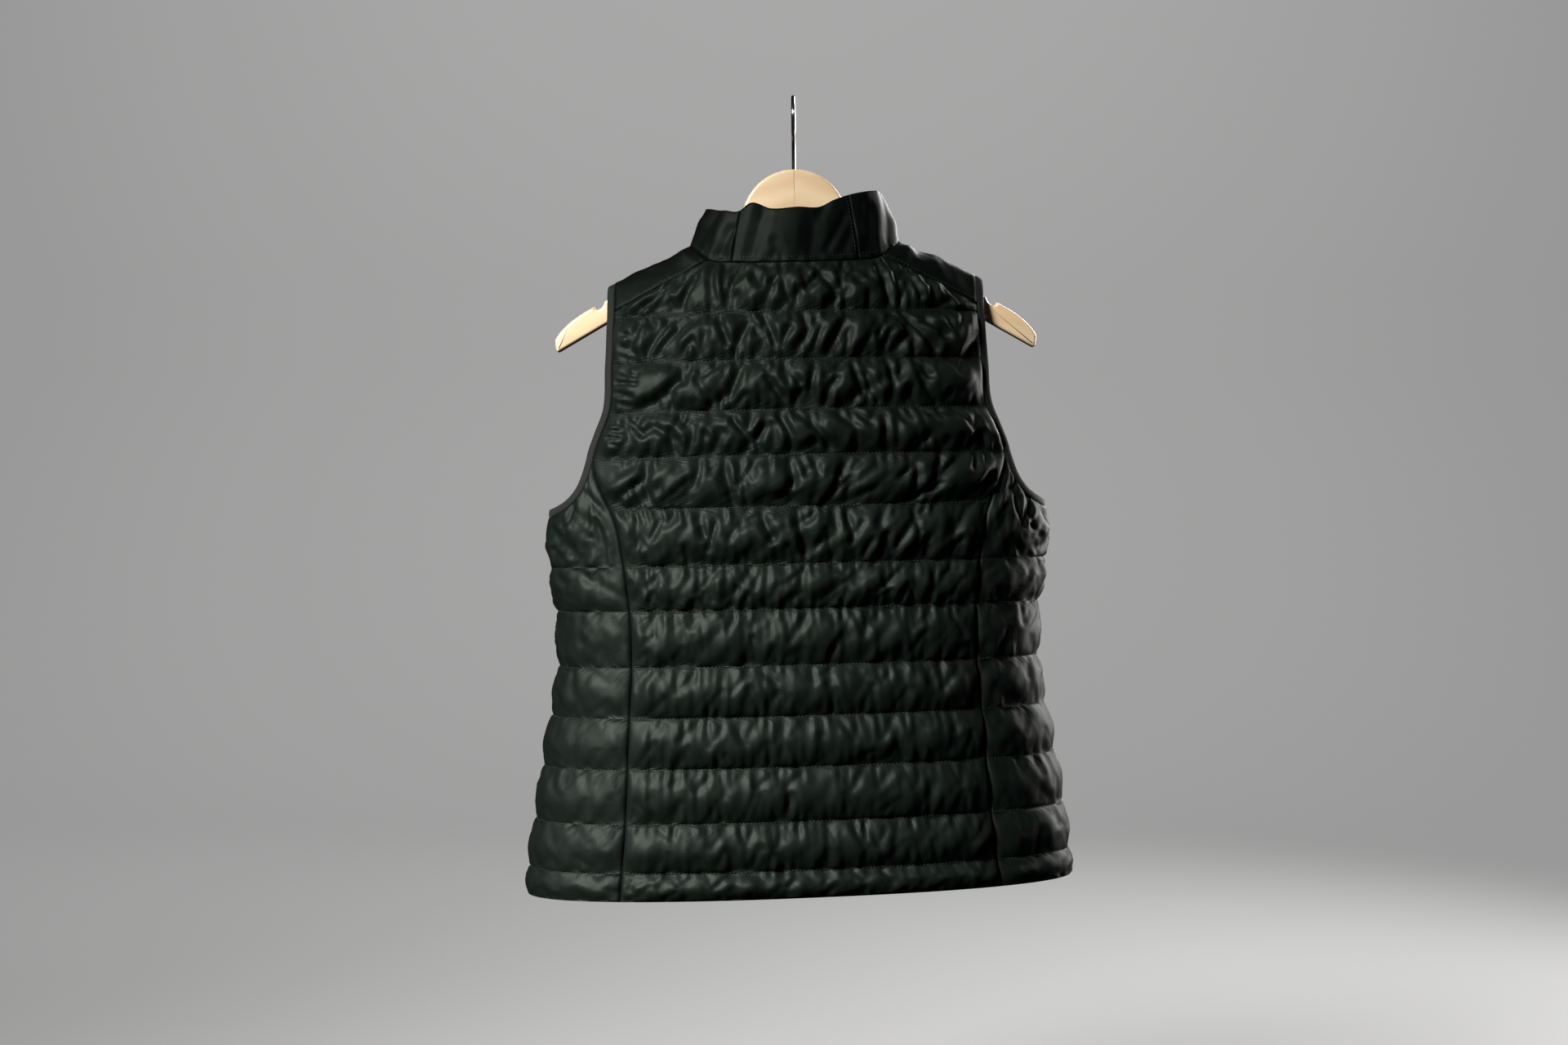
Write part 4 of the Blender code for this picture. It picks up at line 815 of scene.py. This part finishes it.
# ---- fronts ----
# Two quilted panels like the back, cut in two for the zip, with a lower neck.
ZIP_EDGE = 0.007
front_columns = evenly(0, 1, YOKE_END - ZIP_EDGE, COLUMN_STEP)
for side, hand in ((1, "left"), (-1, "right")):

    def front_panel(u, v, lift, side=side):
        x = ZIP_EDGE + u * (panel_edge(edge_height(v)) - GAP / 2 - ZIP_EDGE)
        z = row_height(v, x, FRONT_NECK)
        return mirrored(stand_off(x, -depth(x, z), z, lift), side)

    quilt(f"front_quilting_{hand}", f"front_{hand}", front_columns, PANEL_ROWS, front_panel,
          lambda u, v: channel_fill(2 * u - 1, v), lambda u, v: panel_slack(2 * u - 1, v))

# ---- shoulder yokes ----
# Plain shell and lining, unquilted, laid over the hanger's arm from the back seam to the front
# seam and topstitched beside both.
YOKE_WALL = 0.0042
PLAIN_STEP = 0.0030
YOKE_LENGTH = 0.100
YOKE_ROLL = 0.0040  # slack cloth that rolls up beside the collar
# painted shade: the quilted shell's nylon in darker colours for the yokes and collar, which are the same
# cloth
PLAIN_WITH_PAINTED_SHADE = ((0.0016, 0.0026, 0.0021), (0.0024, 0.0037, 0.0031))


def yoke_point(u, v):
    """u from the neck 0 to the armhole 1, v from the back seam 0 to the front seam 1."""
    share = np.abs(1 - 2 * v)
    x = (NECK + NECK_FLARE * (1 - share**2)) * (1 - u) + YOKE_END * u
    seam = top_edge(x, BACK_NECK) + GAP / 2
    y = np.sign(0.5 - v) * depth(x, seam) * share
    return np.stack([x, y, ridge(x) - (ridge(x) - seam) * share ** (1 / TENT_POWER)], axis=-1)


def grid_normals(points, towards):
    """Unit normals of a grid of points, on the side of the given direction."""
    normal = np.cross(np.gradient(points, axis=0), np.gradient(points, axis=1))
    normal /= np.linalg.norm(normal, axis=-1, keepdims=True) + 1e-12
    return normal * np.sign(np.sum(normal * towards, axis=-1, keepdims=True))


# a darker, less glossy copy of the shell's nylon, as painted shade on the yokes and collar
plain = nylon("plain_nylon_painted_shade", PLAIN_WITH_PAINTED_SHADE, 0.00015, 0.07)
for side, hand in ((1, "left"), (-1, "right")):
    u, v = np.meshgrid(evenly(0, 1, YOKE_END - NECK, PLAIN_STEP), evenly(0, 1, YOKE_LENGTH, PLAIN_STEP))
    form = yoke_point(u, v)
    normal = grid_normals(form, np.array([0.3, 0, 1.0]))
    body_share = np.sin(np.pi * u) ** 0.5 * np.sin(np.pi * v) ** 0.5
    seam_share = np.clip(np.exp(-v / 0.10) + np.exp(-(1 - v) / 0.10), 0, 1)
    tucks = uneven(u.shape, (3, u.shape[1] // 2), 0.0008) * seam_share * body_share
    waves = uneven(u.shape, (5, 4), 0.0012)
    waves = (waves + 0.0012 * crumpled(*lengths(form), (0.018, 0.024), 0.6)) * body_share
    roll = YOKE_ROLL * np.exp(-(((u - 0.14) / 0.09) ** 2) - ((v - 0.24) / 0.17) ** 2)
    outer = form + normal * (tucks + waves + roll + 0.0004)[..., None]
    inner = form - normal * (SEAM_WALL + (YOKE_WALL - SEAM_WALL) * body_share)[..., None]
    shape = wall(mirrored(outer, side), mirrored(inner, side), set(), seam_share)
    yoke = piece(f"yoke_shell_{hand}", shape, plain, [f"yoke_{hand}"])
    stitches = bmesh.new()
    for at in (1, len(outer) - 3):
        thread(stitches, mirrored(outer[at], side), normal[at] * (side, 1, 1))
    piece(f"yoke_stitching_{hand}", stitches, sewing)

# ---- stand collar ----
# Plain shell in three pieces, back, left and right, sewn end to end and onto the neck. It is soft,
# so its back slumps between the two seams and its ends stand beside the zip.
COLLAR_LEAN = (0.847, 0.86)
COLLAR_SEAM = 0.225
COLLAR_WALL, COLLAR_BULGE = 0.0030, 0.0015
COLLAR_HEIGHT, SLUMPED_HEIGHT = 0.050, 0.056
COLLAR_TOP = (  # place along the neck, negative on the wearer's right; height of the top edge
    (-1.000, -0.150),
    (-0.750, -0.124),
    (-0.483, -0.0890),
    (-0.290, -0.0895),
    (-0.167, -0.0970),
    (-0.095, -0.1040),
    (-0.020, -0.1037),
    (0.090, -0.1044),
    (0.190, -0.0990),
    (0.225, -0.1045),
    (0.300, -0.1030),
    (0.483, -0.0990),
    (0.750, -0.126),
    (1.000, -0.150),
)


COLLAR_FOLDS = {  # ends along the neck and up the collar, depth as a share of COLLAR_DENT, width
    "back": (
        (0.040, 0.006, 0.033, 0.046, 0.8, 0.011),
        (-0.013, 0.000, -0.018, 0.034, 1.0, 0.014),
        (-0.018, 0.034, -0.032, 0.050, 0.7, 0.009),
        (-0.028, 0.010, -0.050, 0.034, 0.7, 0.006),
        (-0.040, 0.004, -0.054, 0.020, 0.6, 0.006),
        (0.010, 0.000, 0.019, 0.019, 0.5, 0.007),
        (0.022, 0.000, 0.017, 0.012, 0.5, 0.005),
    ),
    "left": (
        (0.072, 0.000, 0.064, 0.030, 0.9, 0.010),
        (0.104, 0.008, 0.086, 0.046, 0.7, 0.013),
        (0.150, 0.000, 0.131, 0.032, 0.8, 0.011),
        (0.205, 0.004, 0.192, 0.040, 0.6, 0.010),
    ),
    "right": (
        (-0.066, 0.000, -0.078, 0.036, 0.8, 0.010),
        (-0.098, 0.012, -0.112, 0.048, 0.7, 0.012),
        (-0.142, 0.000, -0.150, 0.030, 0.8, 0.012),
        (-0.196, 0.010, -0.212, 0.042, 0.6, 0.010),
    ),
}
COLLAR_DENT = 0.0030


def neck_seam():
    """The sewn neck from the middle of the back to the zip on the wearer's left."""
    x = NECK * np.sin(np.linspace(0, np.pi / 2, 40))
    z = top_edge(x, BACK_NECK)
    back = np.stack([x, depth(x, z), z], axis=-1)
    over = yoke_point(np.zeros(40), np.linspace(0, 1, 42)[1:-1])
    x = NECK * np.cos(np.linspace(0, np.arccos(ZIP_EDGE / NECK), 40))
    z = top_edge(x, FRONT_NECK)
    front = np.stack([x, -depth(x, z), z], axis=-1)
    return np.concatenate([back, over, front])


neck_line = neck_seam()
neck_steps = np.concatenate([[0], np.cumsum(np.linalg.norm(np.diff(neck_line, axis=0), axis=1))])
NECK_LENGTH = neck_steps[-1]


def on_neck(place):
    """Point of the neck seam, 0 at the back and 1 at the zip, negative on the wearer's right."""
    at = [np.interp(np.abs(place), neck_steps / NECK_LENGTH, neck_line[:, axis]) for axis in range(3)]
    return np.stack([np.where(place < 0, -at[0], at[0]), at[1], at[2]], axis=-1)


def collar_point(place, up):
    foot = on_neck(place) + (0, 0, GAP)
    upright = np.clip((np.abs(place) - 0.8) / 0.2, 0, 1)  # the ends run straight up beside the zip
    lean = COLLAR_LEAN[0] + (1 - COLLAR_LEAN[0]) * upright
    height = column(COLLAR_TOP, 1, place)
    top = np.stack([foot[..., 0] * lean, foot[..., 1] * COLLAR_LEAN[1], height], axis=-1)
    return foot + (top - foot) * up[..., None]


seam_inset = GAP / 2 / NECK_LENGTH
COLLAR_PIECES = (  # place of both ends along the neck
    ("back", -COLLAR_SEAM, COLLAR_SEAM),
    ("left", COLLAR_SEAM, 1),
    ("right", -1, -COLLAR_SEAM),
)
for hand, low, high in COLLAR_PIECES:
    low, high = low + seam_inset * (low > -1), high - seam_inset * (high < 1)
    span = (high - low) * NECK_LENGTH
    place, up = np.meshgrid(evenly(low, high, span, 0.0022), evenly(0, 1, COLLAR_HEIGHT, 0.0022))
    form = collar_point(place, up)
    normal = grid_normals(form, form - (0, -0.01, -0.13))
    waves = uneven(place.shape, (3, max(3, int(span / 0.03))), 0.0009) * np.sin(np.pi * up)
    gathers = uneven(place.shape, (2, int(span / 0.005)), 0.0006) * np.exp(-up / 0.16)
    bulge = COLLAR_BULGE * np.sin(np.pi * up)
    near = [creased(place * NECK_LENGTH, up * COLLAR_HEIGHT, line) for line in COLLAR_FOLDS[hand]]
    folds = COLLAR_DENT * np.max(near, axis=0) * np.clip(up / 0.12, 0, 1)
    outer = form + normal * (bulge + waves + gathers - folds)[..., None]
    inner = form + normal * (bulge - folds - COLLAR_WALL)[..., None]
    sewn_line, sewn_way = hung(outer), hung(normal) - hung(0 * normal)
    stitches = bmesh.new()
    thread(stitches, sewn_line[2], sewn_way[2])
    if hand == "back":
        thread(stitches, sewn_line[2:-1, 1], sewn_way[2:-1, 1])
    piece(f"collar_stitching_{hand}", stitches, sewing)
    shape = wall(hung(outer), hung(inner), set(), np.exp(-up / 0.15))
    collar = piece(f"collar_shell_{hand}", shape, plain, [f"collar_{hand}"])

# ---- armhole bindings ----
# Matt woven tape folded over the raw edge all round each armhole, stitched down near its inner
# edge and joined under the arm.
BINDING_WIDTH, BINDING_WALL = 0.0075, 0.0032
BINDING_STEP = 0.0028
BINDING_SHADES = ((0.0050, 0.0064, 0.0060), (0.0085, 0.0105, 0.0098))


def armhole():
    """The sewn edge on the wearer's left from the underarm up the back, over and down the front."""
    u = np.linspace(0, 1, 30)
    x, y, z = side_point(u, np.full(30, float(SIDE_LEVELS)))
    foot, foot_normal = np.stack([x, y, z], axis=-1), outward(x, y, z)
    z = edge_height(np.linspace(LEVELS.index(SIDE_TOP), len(LEVELS), 60)[1:])
    x = panel_edge(z)
    rise, rise_normal = np.stack([x, depth(x, z), z], axis=-1), outward(x, depth(x, z), z)
    u, v = np.meshgrid([0.98, 0.99, 1.0], np.linspace(0, 0.5, 24))
    over = yoke_point(u, v)
    over_normal = grid_normals(over, np.array([0.3, 0, 1.0]))
    points = np.concatenate([foot, rise, over[1:, 2]])
    normals = np.concatenate([foot_normal, rise_normal, over_normal[1:, 2]])
    return [np.concatenate([values, values[-2:0:-1] * (1, -1, 1)]) for values in (points, normals)]


def smoothed(values, rounds):
    """A closed line of values with its kinks eased."""
    for _ in range(rounds):
        values = (np.roll(values, 1, axis=0) + 2 * values + np.roll(values, -1, axis=0)) / 4
    return values


def around(values):
    """Values of a closed line at even steps round it."""
    return np.stack([np.interp(stations, steps, np.append(axis, axis[0])) for axis in values.T], axis=-1)


edge_line, edge_normal = armhole()
sides = np.diff(edge_line, axis=0, append=edge_line[:1])
steps = np.concatenate([[0], np.cumsum(np.linalg.norm(sides, axis=1))])
count = int(steps[-1] / BINDING_STEP)
stations = np.linspace(0, steps[-1], count, endpoint=False)
edge_line, edge_normal = around(edge_line), smoothed(around(edge_normal), 6)
edge_normal /= np.linalg.norm(edge_normal, axis=1, keepdims=True)
heading = smoothed(np.roll(edge_line, -1, axis=0) - np.roll(edge_line, 1, axis=0), 4)
away = np.cross(edge_normal, heading)
away /= np.linalg.norm(away, axis=1, keepdims=True)


def woven_tape(name, inputs, colours, speckle, ribs, wander, direction):
    """A finish of narrow woven tape: specks of two colours, and ribs that wander a little."""
    material, tree, shader = finish(name, inputs)
    cloth = add(tree, "UVMap").outputs[0]
    shade = add(tree, "TexNoise", {"Vector": cloth, "Scale": speckle, "Detail": 2.0})
    tree.links.new(blend_colours(tree, shade.outputs[0], colours), shader.inputs["Base Color"])
    rib = {"Vector": cloth, "Scale": ribs, "Distortion": wander}
    raised = add(tree, "TexWave", rib, bands_direction=direction)
    bumped(tree, shader, 0.5, 0.0002, raised.outputs["Fac"])
    return material


matt = {"Roughness": 0.8, "Specular IOR Level": 0.2, "Sheen Weight": 0.04, "Sheen Roughness": 0.5}
webbing = woven_tape("binding_tape", matt, BINDING_SHADES, 300.0, 420.0, 0.4, "X")
turn = np.linspace(0, 2 * np.pi, 12, endpoint=False)
across = np.sign(np.cos(turn)) * np.abs(np.cos(turn)) ** 0.55
over = np.sign(np.sin(turn)) * np.abs(np.sin(turn)) ** 0.8
for side, hand in ((1, "left"), (-1, "right")):
    pucker = 1 + uneven((2, count), (1, count // 3), 0.10)[0]
    tape = bmesh.new()
    loops = []
    for at in range(count):
        width = GAP + BINDING_WIDTH / 2 * (1 + across)
        rise = -SEAM_WALL / 2 + BINDING_WALL / 2 * over * pucker[at]
        ring = edge_line[at] + away[at] * width[:, None] + edge_normal[at] * rise[:, None]
        known = len(tape.verts)
        loops.append(ring_edges(tape, len(ring), 1.0, Matrix()))
        tape.verts.ensure_lookup_table()
        for corner, spot in zip(tape.verts[known:], mirrored(ring, side)):
            corner.co = spot
    for first, second in zip(loops, loops[1:] + loops[:1]):
        bmesh.ops.bridge_loops(tape, edges=first + second)
    bmesh.ops.recalc_face_normals(tape, faces=tape.faces[:])
    binding = piece(f"binding_{hand}", tape, webbing, [f"armhole_binding_{hand}"], sharp=60)

# ---- front zip ----
# An open-ended zip, closed to the top of the collar: two woven tapes, moulded teeth that mesh in
# the middle, a box at the hem, a cast slider, and a pull tab that swings on the slider's bridge.
TAPE_EDGE, TAPE_WALL, TAPE_WIDTH = 0.0073, 0.0010, 0.0142
TAPE_SHADES = ((0.010, 0.012, 0.012), (0.018, 0.021, 0.020))
CHAIN_HALF, CHAIN_RISE = 0.0022, 0.0017
TOOTH_PITCH = 0.0027
SLIDER_HALF, SLIDER_RISE, SLIDER_DROP = (0.0042, 0.0060), 0.0040, 0.0085
PIVOT_RISE, PIN_RADIUS = 0.0011, 0.0005
PULL_ARM, PULL_HALF, PULL_PLATE, PULL_THICK = (0.0011, 0.0021), 0.0030, (-0.0240, -0.0050), 0.0011
collar_foot = on_neck(np.array([1.0]))[0]
collar_end = collar_point(np.array([1.0]), np.array([1.0]))[0]
zip_lean = math.atan2(collar_end[1] - collar_foot[1], collar_end[2] - collar_foot[2])
slider_height = collar_end[2] - SLIDER_DROP * math.cos(zip_lean)
chain_end = slider_height - (SLIDER_HALF[1] + GAP) * math.cos(zip_lean)


def zip_line(z):
    """Distance before the middle of the closed fronts and collar."""
    on_body = -depth(np.full(np.shape(z), ZIP_EDGE), np.minimum(z, FRONT_NECK))
    on_collar = np.interp(z, [collar_foot[2], collar_end[2]], [collar_foot[1], collar_end[1]])
    return np.where(z < collar_foot[2], on_body, on_collar)


brushed = {"Roughness": 0.85, "Sheen Weight": 0.1, "Sheen Roughness": 0.5}
tape_cloth = woven_tape("zip_tape", brushed, TAPE_SHADES, 400.0, 330.0, 0.3, "DIAGONAL")
plastic = {"Base Color": (0.014, 0.016, 0.015, 1), "Specular IOR Level": 0.5}
moulded = worn_finish("moulded_teeth", plastic, 900.0, 2.0, (0.28, 0.5))[0]

tooth = bmesh.new()
bmesh.ops.create_cube(tooth, size=1.0)
for corner in tooth.verts:
    # the head past the middle is lower than the root on the tape
    corner.co.z *= 0.62 if corner.co.x < 0 else 0.86
bmesh.ops.bevel(tooth, geom=tooth.edges[:], offset=0.09, affect="EDGES", segments=1, profile=0.5, material=-1)
tooth_mesh = bpy.data.meshes.new("tooth")
tooth.to_mesh(tooth_mesh)
tooth.free()
tooth_size = (CHAIN_HALF + 0.0005, CHAIN_RISE + 0.0002, TOOTH_PITCH * 0.72)
heights = np.arange(HEM + 0.0085, chain_end - TOOTH_PITCH / 2, TOOTH_PITCH / 2)


def hang(shape):
    """Turns and drops a shape with the cloth that it is sewn to."""
    for corner, spot in zip(shape.verts, hung(np.array([corner.co for corner in shape.verts]))):
        corner.co = spot


teeth = bmesh.new()
for at, z in enumerate(heights):
    side = 1 if at % 2 else -1
    known = len(teeth.verts)
    teeth.from_mesh(tooth_mesh)
    teeth.verts.ensure_lookup_table()
    new = teeth.verts[known:]
    line = zip_line(np.array([z - 1e-3, z, z + 1e-3]))
    tilt = math.atan2(line[2] - line[0], 2e-3)
    middle = (side * (CHAIN_HALF - tooth_size[0] / 2), line[1] - CHAIN_RISE / 2 + 0.0001, z)
    size = Matrix.Diagonal((side * tooth_size[0], *tooth_size[1:], 1))
    placed = Matrix.Translation(middle) @ Matrix.Rotation(-tilt, 4, "X") @ size
    bmesh.ops.transform(teeth, matrix=placed, verts=new)
hang(teeth)
bmesh.ops.recalc_face_normals(teeth, faces=teeth.faces[:])
piece("zip_teeth", teeth, moulded, ["zip_chain"], sharp=30)

tape_rows = np.linspace(HEM, collar_end[2] - 0.001, 230)
for side, hand in ((1, "left"), (-1, "right")):
    u, z = np.meshgrid(np.array([0, 0.08, 0.3, 0.55, 0.8, 1.0]), tape_rows)
    x = GAP / 2 + 0.0001 + (TAPE_EDGE - GAP / 2) * u
    ripple = uneven(u.shape, (60, 1), 0.00008) * u
    # the cord woven into the edge that carries the teeth
    cord = 0.00035 * np.exp(-((u - 0.04) / 0.1) ** 2)
    outer = np.stack([x, zip_line(z) + 0.0005 - cord + ripple, z], axis=-1)
    inner = np.stack([x, zip_line(z) + 0.0005 + TAPE_WALL, z], axis=-1)
    shape = wall(mirrored(outer, side), mirrored(inner, side), set(), 0 * u)
    tape = piece(f"zip_tape_cloth_{hand}", shape, tape_cloth, [f"zip_tape_{hand}"])
    long = float(lengths(outer)[1].max())

cast, tree, shader, wear = worn_finish("cast_metal", {"Metallic": 1.0}, 700.0, 3.0, (0.25, 0.42))
greys = (0.045, 0.046, 0.046), (0.085, 0.086, 0.085)
tree.links.new(blend_colours(tree, wear, greys), shader.inputs["Base Color"])


def block(shape, low, high, rounding, narrow=1.0, segments=2):
    """A block between two corners with rounded edges, its lower end narrower by a share."""
    known = len(shape.verts)
    made = bmesh.ops.create_cube(shape, size=1.0)["verts"]
    for corner in made:
        squeeze = narrow if corner.co.z < 0 else 1.0
        x, y, z = ((a + b) / 2 + (b - a) * at for a, b, at in zip(low, high, corner.co))
        corner.co = (x * squeeze, y, z)
    edges = list({edge for corner in made for edge in corner.link_edges})
    bmesh.ops.bevel(shape, geom=edges, offset=rounding, affect="EDGES", segments=segments, profile=0.5,
                    material=-1)
    shape.verts.ensure_lookup_table()
    return shape.verts[known:]


slider_at = hung(np.array([0.0, float(zip_line(np.array(slider_height))), slider_height]))
seat = Matrix.Translation(slider_at) @ Matrix.Rotation(LEAN, 4, "Y") @ Matrix.Rotation(-zip_lean, 4, "X")
half_x, half_z = SLIDER_HALF
slider = bmesh.new()
front = -SLIDER_RISE
block(slider, (-half_x, front, -half_z), (half_x, front + 0.0013, half_z), 0.00055, narrow=0.72)
block(slider, (-half_x * 0.9, -0.0013, -half_z), (half_x * 0.9, -0.0002, half_z), 0.0004, narrow=0.72)
block(slider, (-0.0011, front + 0.0008, half_z - 0.0045), (0.0011, -0.0008, half_z - 0.0006), 0.0003)
# the bridge is a flat wire bent over the front
foot, knee, top = (-0.0026, 0.0003), (-0.0024, -0.0016), (-0.0012, -0.0025)
bridge = [(z, y) for z, y in (foot, knee, top)] + [(-z, y) for z, y in (top, knee, foot)]
loops = []
for at, (z, y) in enumerate(bridge):
    before, after = bridge[max(at - 1, 0)], bridge[min(at + 1, len(bridge) - 1)]
    way = Vector((0, after[1] - before[1], after[0] - before[0]))
    turned = way.to_track_quat("Z", "X").to_matrix().to_4x4() @ Matrix.Diagonal((0.5, 1.0, 1.0, 1))
    loops.append(ring_edges(slider, 10, 0.0007, Matrix.Translation((0, front + y, z)) @ turned))
tube(slider, loops)
bmesh.ops.transform(slider, matrix=seat, verts=slider.verts[:])
piece("cast_slider", slider, cast, ["zip_slider"], sharp=40)

pull = bmesh.new()
block(pull, (-PULL_HALF, -PULL_THICK / 2, PULL_PLATE[0]), (PULL_HALF, PULL_THICK / 2, PULL_PLATE[1]), 0.0002)
for corner in pull.verts:
    # the plate narrows to its arms and is round at its lower end
    down = (corner.co.z - PULL_PLATE[0]) / (PULL_PLATE[1] - PULL_PLATE[0])
    corner.co.x *= 0.72 + 0.28 * math.sin(math.pi * min(max(down, 0.0), 1.0) * 0.5 + 0.9)
panels = [face for face in pull.faces if abs(face.normal.y) > 0.9 and face.calc_area() > 2e-5]
bmesh.ops.inset_region(pull, faces=panels, thickness=0.0007, depth=0.0)
for face in panels:
    bmesh.ops.translate(pull, verts=face.verts[:], vec=-face.normal * 0.00022)
for side in (1, -1):
    low, high = sorted((side * PULL_ARM[0], side * PULL_ARM[1]))
    foot, tip = (low, -PULL_THICK / 2, PULL_PLATE[1] - 0.0008), (high, PULL_THICK / 2, PIN_RADIUS + 0.0001)
    block(pull, foot, tip, 0.0002)
pin = {"radius1": PIN_RADIUS, "radius2": PIN_RADIUS, "depth": 2 * PULL_ARM[1] - 0.0004}
across = Matrix.Rotation(math.pi / 2, 4, "Y")
bmesh.ops.create_cone(pull, cap_ends=True, segments=12, matrix=across, **pin)
bmesh.ops.recalc_face_normals(pull, faces=pull.faces[:])
pivot = seat @ Matrix.Translation((0, -SLIDER_RISE - PIVOT_RISE, 0))
bmesh.ops.transform(pull, matrix=pivot, verts=pull.verts[:])
piece("pull_tab_cast", pull, cast, ["zip_pull"], body="pull_tab", sharp=40)

box = bmesh.new()
hem_y = float(zip_line(np.array(HEM)))
block(box, (-0.0036, hem_y - 0.0026, HEM + 0.0006), (0.0036, hem_y + 0.0002, HEM + 0.0078), 0.0005)
hang(box)
piece("zip_box", box, moulded, sharp=40)

# ---- studio ----
# Pale paper that sweeps up behind and glows a little, so that it is even. A soft key light stands
# behind the wearer's left, a tall one edges the right, and weaker ones light the fronts and the paper.
FLOOR = -1.02
sweep = bmesh.new()
bmesh.ops.create_grid(sweep, x_segments=1, y_segments=40, size=1.0)
for corner in sweep.verts:
    t = (corner.co.y + 1) / 2
    run = 7.4 * t
    turn = min(max(run - 4.2, 0) / 1.2, math.pi / 2)
    y = 1.6 - min(run, 4.2) - 1.2 * math.sin(turn)
    z = FLOOR + 1.2 * (1 - math.cos(turn)) + max(run - 4.2 - 1.2 * math.pi / 2, 0) * 3
    corner.co = (corner.co.x * 6.0, y, z)
bmesh.ops.reverse_faces(sweep, faces=sweep.faces[:])
pale = {"Base Color": (0.14, 0.14, 0.138, 1), "Roughness": 0.9}
paper = finish("studio_paper", {**pale, "Emission Color": (1, 1, 1, 1), "Emission Strength": 0.24})[0]
mesh = bpy.data.meshes.new("studio_floor")
sweep.to_mesh(mesh)
sweep.free()
mesh.materials.append(paper)
mesh.shade_smooth()
floor = bpy.data.objects.new("studio_floor", mesh)
bpy.context.scene.collection.objects.link(floor)
floor.visible_diffuse = floor.visible_glossy = False  # no light from below on the cloth
LIGHTS = (  # name, place, aimed at, size, spread, power, colour
    ("key", (1.50, 1.60, 0.90), (0.0, 0.0, -1.06), (0.7, 0.9), 44, 17.5, (1.0, 0.985, 0.96)),
    ("rim", (-1.6, -0.9, 0.0), (-0.1, 0.0, -0.45), (0.35, 1.3), 180, 38.0, (1.0, 0.98, 0.95)),
    ("fill", (-1.3, -2.0, 0.7), (0.0, 0.0, -0.5), (1.2, 1.2), 120, 34.0, (1.0, 1.0, 1.0)),
    ("paper", (0.0, -1.3, 2.3), (0.0, -3.6, 0.1), (3.6, 1.4), 120, 62.0, (1.0, 1.0, 1.0)),
)
for name, place, target, size, spread, power, colour in LIGHTS:
    lamp = bpy.data.lights.new(name, "AREA")
    lamp.shape, lamp.size, lamp.size_y, lamp.energy, lamp.color = "RECTANGLE", size[0], size[1], power, colour
    lamp.spread = math.radians(spread)
    obj = bpy.data.objects.new(name, lamp)
    obj.location = place
    obj.rotation_euler = (Vector(target) - Vector(place)).to_track_quat("-Z", "Y").to_euler()
    bpy.context.scene.collection.objects.link(obj)
world = bpy.data.worlds.new("studio")
world.use_nodes = True
# the room is dim, and pale where it is looked at past the paper
room = world.node_tree.nodes["Background"]
seen = add(world.node_tree, "LightPath").outputs["Is Camera Ray"]
bright = add(world.node_tree, "MapRange", {"Value": seen, "To Min": 0.012, "To Max": 0.42})
world.node_tree.links.new(bright.outputs[0], room.inputs["Strength"])
room.inputs["Color"].default_value = (1.0, 1.0, 1.0, 1.0)
bpy.context.scene.world = world
bpy.context.scene.view_settings.view_transform = "Standard"
camera_data = bpy.data.cameras.new("camera")
camera_data.lens, camera_data.sensor_width = 50, 36
camera = bpy.data.objects.new("camera", camera_data)
bpy.context.scene.collection.objects.link(camera)
camera.location, camera.rotation_euler = (0.0082, 1.978, -0.3843), (math.pi / 2, 0, math.pi)
bpy.context.scene.camera = camera
